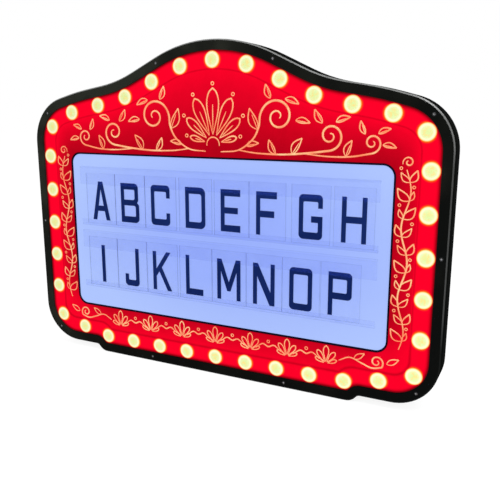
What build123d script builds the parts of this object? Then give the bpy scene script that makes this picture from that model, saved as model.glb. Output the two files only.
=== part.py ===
"""Light-up letter board: a crown-topped sign with a ring of lamps round two rows of letter cards.

Millimetres, +Z up. The face looks towards -Y, X = 0 is the middle of the board, Z = 0 is the
surface that the foot pads stand on, and Y = 0 is halfway through the depth.
"""

from build123d import *
import os
from math import atan2, cos, degrees, radians, sin, tan

os.makedirs("parts", exist_ok=True)

# Overall size.
board_width = 427.4
board_height = 316.0
board_depth = 26.0

# Outline, from the crown's top clockwise to the foot. Each corner is a point with a rounding.
crown_radius = 140.0
crown_slope = 25.2
valley_x = 105.5
valley_radius = 140.0
shoulder_slope = 9.5
shoulder_x = 155.0
shoulder_radius = 250.0
corner_slope = 15.0
corner_radius = 46.0
lower_corner_radius = 40.0
foot_rise = 6.7
foot_width = 278.0
foot_flare = 5.5
foot_root_radius = 5.0
foot_corner_radius = 12.0
least_radius = 0.5

# Front frame.
frame_band = 9.2
frame_flange = 1.8
frame_wall = 1.5
frame_skirt = 9.8
frame_chamfer = 1.1
seam_gap = 0.4

# Rear case.
case_wall = 3.0
back_wall = 2.2
rear_edge_chamfer = 1.6

# Screws of the front frame, where their line round the frame crosses these places. A reach is
# measured inwards from the board's side.
screw_inset = 5.0
screw_head_radius = 1.7
screw_head_height = 0.9
screw_head_sink = 0.1
screw_radius = 0.95
screw_length = 14.0
screw_pilot = 0.1
pilot_room = 0.8
screw_boss_radius = 2.6
crown_screw_x = 59.5
corner_screw_reach = 17.7
side_screw_z = 138.0
lower_screw_reach = 18.2
foot_screw_x = 73.5

# Clearances.
fit_gap = 0.3
moving_gap = 0.35
glue_gap = 0.15
cut_margin = 1.0

# Small rounds are regular polygons, which keeps their facets few.
lamp_sides = 12
outer_sides = 24
inner_sides = 8

# Red face panel and its lamps.
panel_thickness = 1.8
lamp_inset = 17.4
lamp_radius = 7.5
lamp_corner_reach = 49.4
lamp_side_drop = 108.5
lamp_side_bottom = 66.8
lamp_foot_x = 98.1
crown_lamp_count = 5
corner_lamp_count = 2
side_lamp_count = 4
lower_lamp_count = 4
foot_lamp_count = 3

# Walls of the two light boxes.
lamp_wall_inset = 24.9
lamp_wall_thickness = 1.2
window_side_room = 46.4
window_height = 159.2
window_radius = 9.5
window_wall_thickness = 1.4
window_ledge = 1.0
window_notch_room = 1.0

# Letter panel, rails and cards.
letter_panel_sink = 0.8
letter_panel_thickness = 2.0
cards_in_row_count = 8
row_spare_length = 26.0
card_height = 51.7
card_thickness = 0.6
card_lift = 4.4
upper_row_rise = 8.9
row_pitch = 66.1
rail_end_room = 10.3
rail_lip = 0.8
rail_web = 2.0
rail_top_cover = 11.5
rail_bottom_cover = 4.0
upper_row_indent = 6.6
upper_row_gaps = (0.4, 0.4, 3.5, 2.5, 0.5, 5.5, 3.0)
lower_row_indent = 6.3
lower_row_gaps = (0.5, 0.6, 2.6, 0.5, 0.5, 0.4, 0.9)

# Lights.
strip_width = 8.0
strip_thickness = 0.6
strip_break = 3.0
lamp_led_length = 3.5
lamp_led_width = 2.8
lamp_led_height = 1.0
reflector_thickness = 0.4
bar_end_room = 17.3
bar_width = 8.0
bar_thickness = 1.0
bar_pitch = 50.0
bar_count = 3
window_led_size = 5.0
window_led_height = 1.4
window_led_count = 6

# Control board beside the battery bay, and what it carries. An offset is measured from the
# board's middle.
board_bay_room = 12.25
board_window_room = 1.2
control_board_length = 58.0
control_board_width = 14.0
control_board_thickness = 1.2
board_post_height = 4.0
board_post_radius = 2.2
board_post_spacing = 50.0
board_screw_head_radius = 1.9
board_screw_head_height = 1.0
board_screw_length = 3.2
chip_length = 9.0
chip_width = 4.0
chip_height = 1.5
chip_offset = -10.0
receiver_width = 6.0
receiver_height = 5.5
receiver_depth = 2.6
receiver_lens_radius = 2.0
receiver_lens = 1.2
receiver_offset = 12.0

# Controls and inlet in the back wall.
control_pocket_depth = 0.9
switch_offset = -15.5
switch_length = 8.6
switch_width = 4.6
switch_height = 3.4
switch_travel = 2.0
switch_knob_length = 2.2
switch_knob_width = 1.8
switch_knob_root = 1.4
switch_pocket_length = 13.0
switch_pocket_width = 7.0
knob_sink = 0.1
button_radius = 3.0
button_travel = 0.8
button_flange_size = 7.6
button_flange = 1.0
button_stem_size = 2.4
tact_size = 6.0
tact_height = 1.5
tact_well = 1.2
socket_offset = 16.0
socket_width = 9.0
socket_height = 3.3
socket_wall = 0.35
socket_tongue_width = 6.6
socket_tongue_thickness = 0.7
socket_tongue_length = 4.5
socket_base = 1.0
socket_sink = 0.3

# Battery bay, cells and cover.
cell_radius = 7.25
cell_length = 49.5
cell_nub_radius = 2.75
cell_nub = 1.0
cell_count = 3
bay_foot_room = 2.45
bay_window_room = 2.05
bay_depth = 15.2
bay_wall = 2.0
contact_room = 3.0
contact_thickness = 0.4
contact_width = 9.0
contact_pad_radius = 2.4
contact_tail = 3.0
contact_tail_width = 3.0
cover_lap = 0.9
cover_step = 0.4
cover_tab_width = 10.0
cover_tab_length = 1.6
cover_tab_thickness = 1.3
cover_tab_neck = 1.6
cover_tab_room = 1.3
cover_tab_spacing = 56.0
cover_tab_count = 3
cover_swing = 60.0
latch_width = 16.0
latch_length = 9.0
latch_slit = 0.8
grip_length = 12.0
grip_width = 0.9
grip_depth = 0.5
grip_pitch = 2.0
grip_count = 3

# Keyholes for hanging.
keyhole_spacing = 200.0
keyhole_drop = 76.0
keyhole_radius = 4.5
keyhole_slot_radius = 2.2
keyhole_slot_length = 9.0

# Inner wires.
wire_radius = 0.6
wire_bend = 1.2
wire_gap = 0.35
wire_notch = 2.4
lamp_wire_offset = -21.5
window_wire_offset = 8.0
wire_root = 4.5
wire_overlap = 2.0

# Foot pads.
pad_proud = 0.5
pad_pocket = 0.7
pad_length = 40.0
pad_width = 5.6
pad_x = 105.0
pad_edge = 2.6

# Depths behind the front plane of the frame.
panel_front = frame_flange
panel_back = panel_front + panel_thickness
seam_back = frame_skirt + seam_gap
floor_front = board_depth - back_wall
lip_inset = frame_wall + fit_gap
head_back = screw_head_sink + screw_head_height
letter_face = panel_front + letter_panel_sink
letter_back = letter_face + letter_panel_thickness
lip_back = letter_face - card_thickness - 2 * fit_gap
lip_front = lip_back - rail_lip
board_back = floor_front - board_post_height
board_front = board_back - control_board_thickness
bay_front = floor_front - bay_depth - bay_wall
cell_depth = bay_front + bay_wall + fit_gap + cell_radius
cover_front = floor_front + cover_step
wire_depth = floor_front - strip_thickness - wire_radius

# Battery bay, which stands on the foot of the lamps' wall, and its cover.
foot_z = pad_proud
base_z = foot_z + foot_rise
bay_length = cell_count * (cell_length + cell_nub) + 2 * contact_room
bay_height = 2 * (cell_radius + fit_gap)
bay_bottom = foot_z + lamp_wall_inset + lamp_wall_thickness + bay_foot_room
bay_z = bay_bottom + bay_wall + bay_height / 2
bay_top = bay_z + bay_height / 2 + bay_wall
cover_length = bay_length + 2 * cover_lap
cover_height = bay_height + 2 * cover_lap
cover_bottom = bay_z - cover_height / 2

# Letter window above the bay, and the rails, cards and light bars that share its size.
window_width = board_width - 2 * window_side_room
window_bottom = bay_top + bay_window_room + window_wall_thickness
window_middle = window_bottom + window_height / 2
rail_length = window_width - 2 * rail_end_room
bar_length = window_width - 2 * bar_end_room
card_width = (rail_length - row_spare_length) / cards_in_row_count
upper_card_bottom = window_middle + upper_row_rise
lower_card_bottom = upper_card_bottom - row_pitch

# Control board between the bay and the window, and the places along it.
board_x = bay_length / 2 + bay_wall + board_bay_room + control_board_length / 2
board_z = window_bottom - window_wall_thickness - board_window_room - control_board_width / 2
chip_x = board_x + chip_offset
receiver_x = board_x + receiver_offset
switch_x = board_x + switch_offset
button_x = board_x
socket_x = board_x + socket_offset
lamp_wire_x = board_x + lamp_wire_offset
window_wire_x = board_x + window_wire_offset

# Places along the frame's screws and the lamps, and the keyholes' height.
corner_screw_x = board_width / 2 - corner_screw_reach
lower_screw_x = board_width / 2 - lower_screw_reach
lamp_corner_x = board_width / 2 - lamp_corner_reach
lamp_side_top = board_height - lamp_side_drop
keyhole_z = board_height - keyhole_drop


def depth_y(depth):
    """Y of a plane that lies so deep behind the frame's front plane."""
    return depth - board_depth / 2


def slab(sketch, front, back):
    """Solid of a front-view sketch, filling the depths from front to back."""
    plane = Plane(origin=(0, depth_y(back), 0), x_dir=(1, 0, 0), z_dir=(0, -1, 0))
    return extrude(plane * sketch, back - front)


def box_at(x, z, width, height, front, back):
    """Rectangular block centred on a front-view point, between two depths."""
    return slab(Pos(x, z) * Rectangle(width, height), front, back)


def peg(x, z, radius, sides, front, back):
    """Straight peg along Y with a regular polygon for its section."""
    return slab(Pos(x, z) * RegularPolygon(radius, sides), front, back)


def group(solids):
    """One node that holds several separate solids."""
    return Compound(children=list(solids))


# Outline of the board and the rings that run parallel to it.
def rounded_wire(points, radii):
    """Closed wire through the points with a tangent arc at each; arcs that would meet are cut back."""
    count = len(points)
    sides = [points[(i + 1) % count] - points[i] for i in range(count)]
    runs = [side.normalized() for side in sides]
    half_turns = [radians(runs[i - 1].get_angle(runs[i])) / 2 for i in range(count)]
    reaches = [radius * tan(half) for radius, half in zip(radii, half_turns)]
    for i in range(count):
        j = (i + 1) % count
        excess = reaches[i] + reaches[j] - 0.98 * sides[i].length
        if excess > 0:
            reaches[i if reaches[i] > reaches[j] else j] -= excess
    arcs = []
    for i, corner in enumerate(points):
        radius = reaches[i] / tan(half_turns[i])
        inward = (runs[i] - runs[i - 1]).normalized()
        middle = corner + inward * (radius / cos(half_turns[i]) - radius)
        arcs.append((corner - runs[i - 1] * reaches[i], middle, corner + runs[i] * reaches[i]))
    edges = []
    for i, (start, middle, end) in enumerate(arcs):
        edges.append(ThreePointArc(start, middle, end))
        edges.append(Line(end, arcs[(i + 1) % count][0]))
    return Wire(edges)


def outline_corners():
    """Corners of the outline, clockwise from the crown's top, each with its rounding."""
    half_width = board_width / 2
    half_foot = foot_width / 2
    apex_z = board_height - crown_radius + crown_radius / cos(radians(crown_slope))
    valley_z = apex_z - valley_x * tan(radians(crown_slope))
    shoulder_z = valley_z - (shoulder_x - valley_x) * tan(radians(shoulder_slope))
    corner_z = shoulder_z - (half_width - shoulder_x) * tan(radians(corner_slope))
    right = [
        (valley_x, valley_z, valley_radius),
        (shoulder_x, shoulder_z, shoulder_radius),
        (half_width, corner_z, corner_radius),
        (half_width, base_z, lower_corner_radius),
        (half_foot + foot_flare, base_z, foot_root_radius),
        (half_foot, foot_z, foot_corner_radius),
    ]
    left = [(-x, z, radius) for x, z, radius in reversed(right)]
    return [(0, apex_z, crown_radius)] + right + left


def ring_wire(inset):
    """The outline drawn so far inside the board's edge, as a closed wire."""
    corners = outline_corners()
    points = [Vector(x, z) for x, z, radius in corners]
    count = len(points)
    runs = [(points[(i + 1) % count] - points[i]).normalized() for i in range(count)]
    inwards = [Vector(run.Y, -run.X) for run in runs]
    moved, radii = [], []
    for i, (x, z, radius) in enumerate(corners):
        before, after = inwards[i - 1], inwards[i]
        moved.append(points[i] + (before + after) * (inset / (1 + before.dot(after))))
        turn = runs[i - 1].cross(runs[i]).Z
        radii.append(max(radius - inset, least_radius) if turn < 0 else radius + inset)
    return rounded_wire(moved, radii)


def ring_face(inset):
    """The area inside the outline drawn so far inside the board's edge."""
    return make_face(ring_wire(inset).edges())


def crossing(path, start, end):
    """Point where a closed wire crosses the straight line from start to end."""
    return path.distance_to_with_closest_points(Line(start, end))[1]


def mirrored(points):
    """The right half's points, then their mirror images in the order that closes the ring."""
    return points + [(-x, z, -angle) for x, z, angle in reversed(points) if abs(x) > 0.01]


def ring_screws():
    """Places of the frame's screws as (x, z, 0)."""
    path = ring_wire(screw_inset)
    middle = board_height / 2
    lines = [
        ((crown_screw_x, middle), (crown_screw_x, board_height)),
        ((corner_screw_x, middle), (corner_screw_x, board_height)),
        ((0, side_screw_z), (board_width / 2, side_screw_z)),
        ((lower_screw_x, 0), (lower_screw_x, middle)),
        ((foot_screw_x, 0), (foot_screw_x, middle)),
    ]
    crossings = [crossing(path, start, end) for start, end in lines]
    return mirrored([(point.X, point.Y, 0) for point in crossings])


def ring_places(division):
    """Places along the ring of lamps as (x, z, angle of the ring there).

    The lamps are evenly spaced between set places, and each space is divided into this many parts.
    """
    path = ring_wire(lamp_inset)
    middle = board_height / 2
    lines = [
        ((0, middle), (0, board_height)),
        ((lamp_corner_x, middle), (lamp_corner_x, board_height)),
        ((0, lamp_side_top), (board_width / 2, lamp_side_top)),
        ((0, lamp_side_bottom), (board_width / 2, lamp_side_bottom)),
        ((lamp_foot_x, 0), (lamp_foot_x, middle)),
        ((0, 0), (0, middle)),
    ]
    counts = [
        crown_lamp_count,
        corner_lamp_count,
        side_lamp_count,
        lower_lamp_count,
        foot_lamp_count,
    ]
    stations = [path.param_at_point(crossing(path, start, end)) for start, end in lines]
    shares = [stations[0]]
    for begin, end, count in zip(stations, stations[1:], counts):
        span = (end - begin + 0.5) % 1 - 0.5
        steps = count * division
        shares += [(begin + span * step / steps) % 1 for step in range(1, steps + 1)]
    places = []
    for share in shares:
        point, run = path.position_at(share), path.tangent_at(share)
        places.append((point.X, point.Y, degrees(atan2(run.Y, run.X))))
    return mirrored(places)


screw_places = ring_screws()
lamp_places = ring_places(1)


# Front frame: a flat flange round the face with a skirt that caps the case.
def pad_places():
    """Middles of the four foot pads as (x, front depth)."""
    rear = board_depth - pad_edge - pad_width
    return [(x, front) for x in (-pad_x, pad_x) for front in (pad_edge, rear)]


def pad_block(x, front, bottom, grow):
    """Block over a foot pad's plan, so much larger all round, up to the pocket's floor."""
    height = foot_z + pad_pocket - bottom
    middle = bottom + height / 2
    back = front + pad_width + grow
    return box_at(x, middle, pad_length + 2 * grow, height, front - grow, back)


def pad_pockets():
    """Cutters for the shallow pockets that the foot pads are glued into."""
    return [pad_block(x, front, foot_z - cut_margin, glue_gap) for x, front in pad_places()]


def screw_hole(x, z):
    """Cutter for a hole through the flange with a recess for the screw's head."""
    recess = peg(x, z, screw_head_radius + glue_gap, inner_sides, 0, head_back)
    return recess + peg(x, z, screw_radius + fit_gap, inner_sides, head_back, frame_flange)


def make_front_frame():
    frame = slab(ring_face(0), 0, frame_skirt)
    frame -= slab(ring_face(frame_wall), frame_flange, frame_skirt)
    frame -= slab(ring_face(frame_band), 0, frame_flange)
    face = frame.faces().sort_by(Axis.Y)[0]
    frame = chamfer(face.outer_wire().edges(), frame_chamfer)
    return frame - [screw_hole(x, z) for x, z, angle in screw_places] - pad_pockets()


def frame_screw(x, z):
    """Self-tapping screw with a flat head, as a plain head and shank."""
    head = peg(x, z, screw_head_radius, inner_sides, screw_head_sink, head_back)
    return head + peg(x, z, screw_radius, inner_sides, head_back, screw_length)


# Rear case: a deep tray with a stepped lip, screw bosses, a battery bay and board posts.
def screw_boss(x, z):
    return peg(x, z, screw_boss_radius, inner_sides, panel_back, floor_front)


def screw_pilot_hole(x, z):
    return peg(x, z, screw_radius + screw_pilot, inner_sides, panel_back, screw_length + pilot_room)


def case_shell():
    """Outer skin, back wall and the lip that stands inside the frame's skirt."""
    skin = slab(ring_face(0), seam_back, board_depth)
    back = skin.faces().sort_by(Axis.Y)[-1]
    skin = chamfer(back.outer_wire().edges(), rear_edge_chamfer)
    skin += slab(ring_face(lip_inset), panel_back, seam_back)
    return skin - slab(ring_face(case_wall), panel_back, floor_front)


def board_post_places():
    return [(board_x + side * board_post_spacing / 2, board_z) for side in (-1, 1)]


def keyhole(x):
    """Round hole for a screw head with a narrower slot above it for the shank."""
    head = Pos(x, keyhole_z) * Circle(keyhole_radius)
    slot = Pos(x, keyhole_z + keyhole_slot_length / 2) * Rectangle(
        2 * keyhole_slot_radius, keyhole_slot_length
    )
    end = Pos(x, keyhole_z + keyhole_slot_length) * Circle(keyhole_slot_radius)
    return slab(head + slot + end, floor_front, board_depth)


def cover_tab_places():
    half = (cover_tab_count - 1) / 2
    return [(step - half) * cover_tab_spacing for step in range(cover_tab_count)]


def back_wall_openings():
    """Cutters for the battery cover, the switch, the button and the inlet."""
    cutters = [
        box_at(
            0,
            bay_z,
            cover_length + 2 * moving_gap,
            cover_height + 2 * moving_gap,
            floor_front,
            board_depth,
        ),
        box_at(
            switch_x,
            board_z,
            switch_pocket_length,
            switch_pocket_width,
            board_depth - control_pocket_depth,
            board_depth,
        ),
        box_at(
            switch_x,
            board_z,
            switch_knob_length + switch_travel + 2 * moving_gap,
            switch_knob_width + 2 * moving_gap,
            floor_front,
            board_depth,
        ),
        peg(
            button_x,
            board_z,
            button_radius + moving_gap,
            outer_sides,
            floor_front,
            board_depth,
        ),
        slab(
            Pos(socket_x, board_z)
            * SlotOverall(socket_width + 2 * fit_gap, socket_height + 2 * fit_gap),
            floor_front,
            board_depth,
        ),
    ]
    return cutters


def tab_pocket(x):
    """Cutter in the bay's lower wall, where a tab of the cover hooks in behind the back wall."""
    bottom = cover_bottom - cover_tab_length - cut_margin
    top = cover_bottom + cover_tab_neck + 2 * moving_gap
    width = cover_tab_width + 2 * moving_gap
    front = cover_front - 2 * cover_step - cover_tab_thickness - cover_tab_room
    return box_at(x, (bottom + top) / 2, width, top - bottom, front, floor_front)


def contact_slots():
    """Cutters in the bay's end walls for the contacts' solder tails."""
    reach = bay_wall + 2 * glue_gap
    width = contact_tail_width + 2 * glue_gap
    thick = contact_thickness + 2 * glue_gap
    depth = cell_depth - thick / 2
    places = [side * (bay_length + bay_wall) / 2 for side in (-1, 1)]
    return [box_at(x, bay_z, reach, width, depth, depth + thick) for x in places]


def make_rear_case():
    case = case_shell()
    case += [screw_boss(x, z) for x, z, angle in screw_places]
    case += box_at(
        0, bay_z, bay_length + 2 * bay_wall, bay_height + 2 * bay_wall, bay_front, floor_front
    )
    for x, z in board_post_places():
        case += peg(x, z, board_post_radius, inner_sides, board_back, floor_front)
    cutters = [screw_pilot_hole(x, z) for x, z, angle in screw_places]
    cutters.append(box_at(0, bay_z, bay_length, bay_height, bay_front + bay_wall, floor_front))
    cutters += back_wall_openings()
    cutters += [tab_pocket(x) for x in cover_tab_places()]
    cutters += contact_slots()
    cutters += [keyhole(side * keyhole_spacing / 2) for side in (-1, 1)]
    pilot = screw_radius + screw_pilot
    pilot_back = board_back + board_screw_length + pilot_room
    for x, z in board_post_places():
        cutters.append(peg(x, z, pilot, inner_sides, board_back, pilot_back))
    return case - cutters - pad_pockets()


# Red face panel with a window and a hole for each lamp lens.
def window_outline(grow):
    """The letter window's rounded rectangle, so much larger all round."""
    sketch = RectangleRounded(
        window_width + 2 * grow, window_height + 2 * grow, window_radius + grow
    )
    return Pos(0, window_middle) * sketch


def make_red_panel():
    lamp_hole = RegularPolygon(lamp_radius + glue_gap, lamp_sides)
    screw_hole = RegularPolygon(screw_radius + fit_gap, inner_sides)
    sketch = ring_face(lip_inset) - window_outline(window_wall_thickness + fit_gap)
    sketch -= [Pos(x, z) * lamp_hole for x, z, angle in lamp_places]
    sketch -= [Pos(x, z) * screw_hole for x, z, angle in screw_places]
    return slab(sketch, panel_front, panel_back)


def lamp_lens(x, z):
    """Flat plug of frosted plastic that fills its hole in the red panel."""
    return peg(x, z, lamp_radius, lamp_sides, panel_front, panel_back)


# Walls that keep the lamps' light and the window's light apart.
def make_lamp_wall():
    ring = ring_face(lamp_wall_inset) - ring_face(lamp_wall_inset + lamp_wall_thickness)
    wall = slab(ring, panel_back, floor_front)
    return wall - wire_notch_at(lamp_wire_x, foot_z, board_z - control_board_width / 2)


def make_window_wall():
    """Wall with a rebate at its front, which the letter panel sits in."""
    outer = window_outline(window_wall_thickness)
    wall = slab(outer - window_outline(0), panel_front, letter_back)
    wall += slab(outer - window_outline(-window_ledge), letter_back, floor_front)
    reach = window_wall_thickness + window_ledge + window_notch_room
    return wall - wire_notch_at(window_wire_x, window_bottom - reach, window_bottom + reach)


# Letter panel with its clear rails and the cards.
def make_letter_panel():
    return slab(window_outline(-glue_gap), letter_face, letter_back)


def rail(points):
    """Straight rail along X from a section given as (depth, height) points."""
    section = [(depth_y(depth), z) for depth, z in points]
    face = Plane.YZ * make_face(Polyline(*section, close=True))
    return extrude(face, rail_length / 2, both=True)


def top_rail(card_bottom):
    """Lip over the cards' tops, with a channel deep enough for a card to be lifted into it."""
    card_top = card_bottom + card_height
    lip_bottom = card_top - rail_top_cover
    web_bottom = card_top + card_lift + fit_gap
    web_top = web_bottom + rail_web
    return rail(
        [
            (lip_front, lip_bottom),
            (lip_back, lip_bottom),
            (lip_back, web_bottom),
            (letter_face, web_bottom),
            (letter_face, web_top),
            (lip_front, web_top),
        ]
    )


def bottom_rail(card_bottom):
    """Shelf under the cards with a low lip in front, which a lifted card clears."""
    shelf = card_bottom - fit_gap
    lip_top = card_bottom + rail_bottom_cover
    return rail(
        [
            (lip_front, shelf - rail_web),
            (letter_face, shelf - rail_web),
            (letter_face, shelf),
            (lip_back, shelf),
            (lip_back, lip_top),
            (lip_front, lip_top),
        ]
    )


def card_row(indent, gaps, card_bottom):
    """Cards of one row from the left, with the gaps that were left between them."""
    cards = []
    left = indent - rail_length / 2
    for gap in (*gaps, 0):
        middle = (left + card_width / 2, card_bottom + card_height / 2)
        depths = (lip_back + fit_gap, letter_face - fit_gap)
        cards.append(box_at(*middle, card_width, card_height, *depths))
        left += card_width + gap
    return cards


# Lights behind the lamps and behind the letter panel.
def make_lamp_strip():
    """Flat strip in short straight runs along the lamps, open at the foot's middle."""
    edges = []
    for side in (-1, 1):
        reach = side * strip_width / 2
        turns = [(x, z, radians(angle)) for x, z, angle in ring_places(2)]
        edges.append([(x - reach * sin(turn), z + reach * cos(turn)) for x, z, turn in turns])
    inner, outer = [make_face(Polyline(*points, close=True)) for points in edges]
    band = outer - inner - Pos(0, foot_z + lamp_inset) * Rectangle(strip_break, 2 * strip_width)
    return slab(band, floor_front - strip_thickness, floor_front)


def lamp_led(x, z, angle):
    sketch = Pos(x, z) * Rot(0, 0, angle) * Rectangle(lamp_led_length, lamp_led_width)
    back = floor_front - strip_thickness
    return slab(sketch, back - lamp_led_height, back)


def bar_heights():
    half = (bar_count - 1) / 2
    return [window_middle + (step - half) * bar_pitch for step in range(bar_count)]


def make_light_bars():
    back = floor_front - reflector_thickness
    return [box_at(0, z, bar_length, bar_width, back - bar_thickness, back) for z in bar_heights()]


def make_window_leds():
    back = floor_front - reflector_thickness - bar_thickness
    pitch = bar_length / window_led_count
    half = (window_led_count - 1) / 2
    places = [((step - half) * pitch, z) for z in bar_heights() for step in range(window_led_count)]
    size = window_led_size
    return [box_at(x, z, size, size, back - window_led_height, back) for x, z in places]


def make_reflector():
    sketch = window_outline(-window_ledge - fit_gap)
    return slab(sketch, floor_front - reflector_thickness, floor_front)


# Control board, its screws and the parts soldered to it.
def make_control_board():
    board = Pos(board_x, board_z) * Rectangle(control_board_length, control_board_width)
    hole = RegularPolygon(screw_radius + fit_gap, inner_sides)
    return slab(board - [Pos(x, z) * hole for x, z in board_post_places()], board_front, board_back)


def board_screw(x, z):
    """Screw put in from the front of the board."""
    head_front = board_front - board_screw_head_height
    head = peg(x, z, board_screw_head_radius, inner_sides, head_front, board_front)
    tip = board_back + board_screw_length
    return head + peg(x, z, screw_radius, inner_sides, board_front, tip)


def make_chip():
    return box_at(chip_x, board_z, chip_length, chip_width, board_front - chip_height, board_front)


def make_receiver():
    """Infra-red receiver: a moulded block with a round lens on its front."""
    front = board_front - receiver_depth
    block = box_at(receiver_x, board_z, receiver_width, receiver_height, front, board_front)
    lens_front = front - receiver_lens
    return block + peg(receiver_x, board_z, receiver_lens_radius, outer_sides, lens_front, front)


def make_switch_body():
    body = box_at(
        switch_x, board_z, switch_length, switch_width, board_back, board_back + switch_height
    )
    slot_length = switch_knob_length + switch_travel + 2 * moving_gap
    slot_width = switch_knob_width + 2 * moving_gap
    slot_front = board_back + switch_height - switch_knob_root - moving_gap
    back = board_back + switch_height
    return body - box_at(switch_x, board_z, slot_length, slot_width, slot_front, back)


def make_switch_slider():
    """Knob of the slide switch, at the end of its travel where the board is lit."""
    x = switch_x + switch_travel / 2
    front = board_back + switch_height - switch_knob_root
    tip = board_depth - knob_sink
    return box_at(x, board_z, switch_knob_length, switch_knob_width, front, tip)


def make_tact_body():
    top = board_back + tact_height
    body = box_at(button_x, board_z, tact_size, tact_size, board_back, top)
    well = button_stem_size + 2 * moving_gap
    return body - box_at(button_x, board_z, well, well, top - tact_well, top)


def make_mode_button():
    """Cap with a flange that keeps it behind the back wall and a stem into the switch."""
    stem_front = board_back + tact_height - tact_well + button_travel + moving_gap
    flange_back = floor_front - moving_gap
    flange_front = flange_back - button_flange
    stem, flange = button_stem_size, button_flange_size
    button = peg(button_x, board_z, button_radius, outer_sides, flange_back, board_depth)
    button += box_at(button_x, board_z, flange, flange, flange_front, flange_back)
    return button + box_at(button_x, board_z, stem, stem, stem_front, flange_front)


def make_power_socket():
    """USB-C inlet: an oval shell with a tongue in the middle, its mouth in the back wall."""
    mouth = board_depth - socket_sink
    outer = Pos(socket_x, board_z) * SlotOverall(socket_width, socket_height)
    inner = Pos(socket_x, board_z) * SlotOverall(
        socket_width - 2 * socket_wall, socket_height - 2 * socket_wall
    )
    base_back = board_back + socket_base
    shell = slab(outer, board_back, mouth) - slab(inner, base_back, mouth)
    tongue = box_at(
        socket_x,
        board_z,
        socket_tongue_width,
        socket_tongue_thickness,
        base_back,
        base_back + socket_tongue_length,
    )
    return shell + tongue


# Cells, their contacts and the cover of the bay.
def battery_cell(index):
    """Cell lying along X with its nub at the right-hand end."""
    left = index * (cell_length + cell_nub) - (bay_length / 2 - contact_room)
    end = Plane(origin=(left, depth_y(cell_depth), bay_z), x_dir=(0, 1, 0), z_dir=(1, 0, 0))
    body = extrude(end * RegularPolygon(cell_radius, outer_sides), cell_length)
    nub = extrude(end * RegularPolygon(cell_nub_radius, inner_sides), cell_length + cell_nub)
    return body + nub


def contact_tail_block(side):
    """Solder tail that passes through the bay's end wall on the given side."""
    inner = bay_length / 2 - contact_thickness
    outer = bay_length / 2 + bay_wall + contact_tail
    depth = cell_depth - contact_thickness / 2
    return box_at(
        side * (inner + outer) / 2,
        bay_z,
        outer - inner,
        contact_tail_width,
        depth,
        depth + contact_thickness,
    )


def contact_plate(side):
    x = side * (bay_length - contact_thickness) / 2
    half = contact_width / 2
    return box_at(x, bay_z, contact_thickness, contact_width, cell_depth - half, cell_depth + half)


def make_positive_contact():
    """Flat plate with a round pad pressed out towards the cell's nub."""
    reach = contact_room - contact_thickness
    place = Plane(
        origin=(bay_length / 2 - contact_thickness, depth_y(cell_depth), bay_z),
        x_dir=(0, 1, 0),
        z_dir=(-1, 0, 0),
    )
    pad = extrude(place * RegularPolygon(contact_pad_radius, inner_sides), reach)
    return contact_plate(1) + pad + contact_tail_block(1)


def make_negative_contact():
    """Plate with a bent leaf spring that presses on the cell's flat end."""
    wall = -bay_length / 2 + contact_thickness / 2
    tip = -bay_length / 2 + contact_room - contact_thickness / 2
    half = contact_width / 2 - contact_thickness / 2
    leaf = [
        (wall, depth_y(cell_depth - half)),
        (tip, depth_y(cell_depth - half / 3)),
        (tip, depth_y(cell_depth + half / 3)),
        (wall + contact_thickness, depth_y(cell_depth + half * 0.8)),
    ]
    strip = trace(Polyline(*leaf), contact_thickness)
    spring = extrude(Pos(0, 0, bay_z - contact_width / 4) * strip, contact_width / 2)
    return contact_plate(-1) + spring + contact_tail_block(-1)


def make_battery_cover():
    """Flat cover with tabs along its lower edge, a spring tongue at the top and grip lines."""
    plate = box_at(0, bay_z, cover_length, cover_height, cover_front, board_depth)
    top = cover_bottom + cover_height
    tab_back = floor_front - cover_step
    tab_front = tab_back - cover_tab_thickness
    for x in cover_tab_places():
        neck_z = cover_bottom + cover_tab_neck / 2
        plate += box_at(x, neck_z, cover_tab_width, cover_tab_neck, tab_front, cover_front)
        tab_z = cover_bottom + (cover_tab_neck - cover_tab_length) / 2
        reach = cover_tab_neck + cover_tab_length
        plate += box_at(x, tab_z, cover_tab_width, reach, tab_front, tab_back)
    for side in (-1, 1):
        x = side * (latch_width + latch_slit) / 2
        plate -= box_at(x, top - latch_length / 2, latch_slit, latch_length, cover_front, board_depth)
    for step in range(grip_count):
        z = top - latch_length / 2 + (step - (grip_count - 1) / 2) * grip_pitch
        groove = board_depth - grip_depth
        plate -= box_at(0, z, grip_length, grip_width, groove, board_depth)
    return plate


# Inner wires.
def wire(points):
    """Wire through (x, depth, z) points, its corners cut across rather than rounded."""
    route = [Vector(x, depth_y(depth), z) for x, depth, z in points]
    line = [route[0]]
    for before, corner, after in zip(route, route[1:], route[2:]):
        line.append(corner + (before - corner).normalized() * wire_bend)
        line.append(corner + (after - corner).normalized() * wire_bend)
    path = Polyline(*line, route[-1])
    start = Plane(origin=path @ 0, z_dir=path % 0)
    section = start * RegularPolygon(wire_radius, inner_sides)
    return sweep(section, path=path, transition=Transition.RIGHT)


def wire_notch_at(x, bottom, top):
    """Cutter for a notch in the foot of a wall, between two heights."""
    front = floor_front - wire_notch
    return box_at(x, (bottom + top) / 2, wire_notch, top - bottom, front, floor_front)


def make_light_leads():
    """Wires from the back of the board to the lamp strip and to the lowest light bar."""
    strip_edge = foot_z + lamp_inset + strip_width / 2
    bar_edge = bar_heights()[0] - bar_width / 2
    low, high = board_z - wire_root, board_z + wire_root
    lamp_wire = wire(
        [
            (lamp_wire_x, board_back, low),
            (lamp_wire_x, wire_depth, low),
            (lamp_wire_x, wire_depth, strip_edge - wire_overlap),
        ]
    )
    window_wire = wire(
        [
            (window_wire_x, board_back, high),
            (window_wire_x, wire_depth, high),
            (window_wire_x, wire_depth, bar_edge),
        ]
    )
    return [lamp_wire, window_wire]


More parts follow.
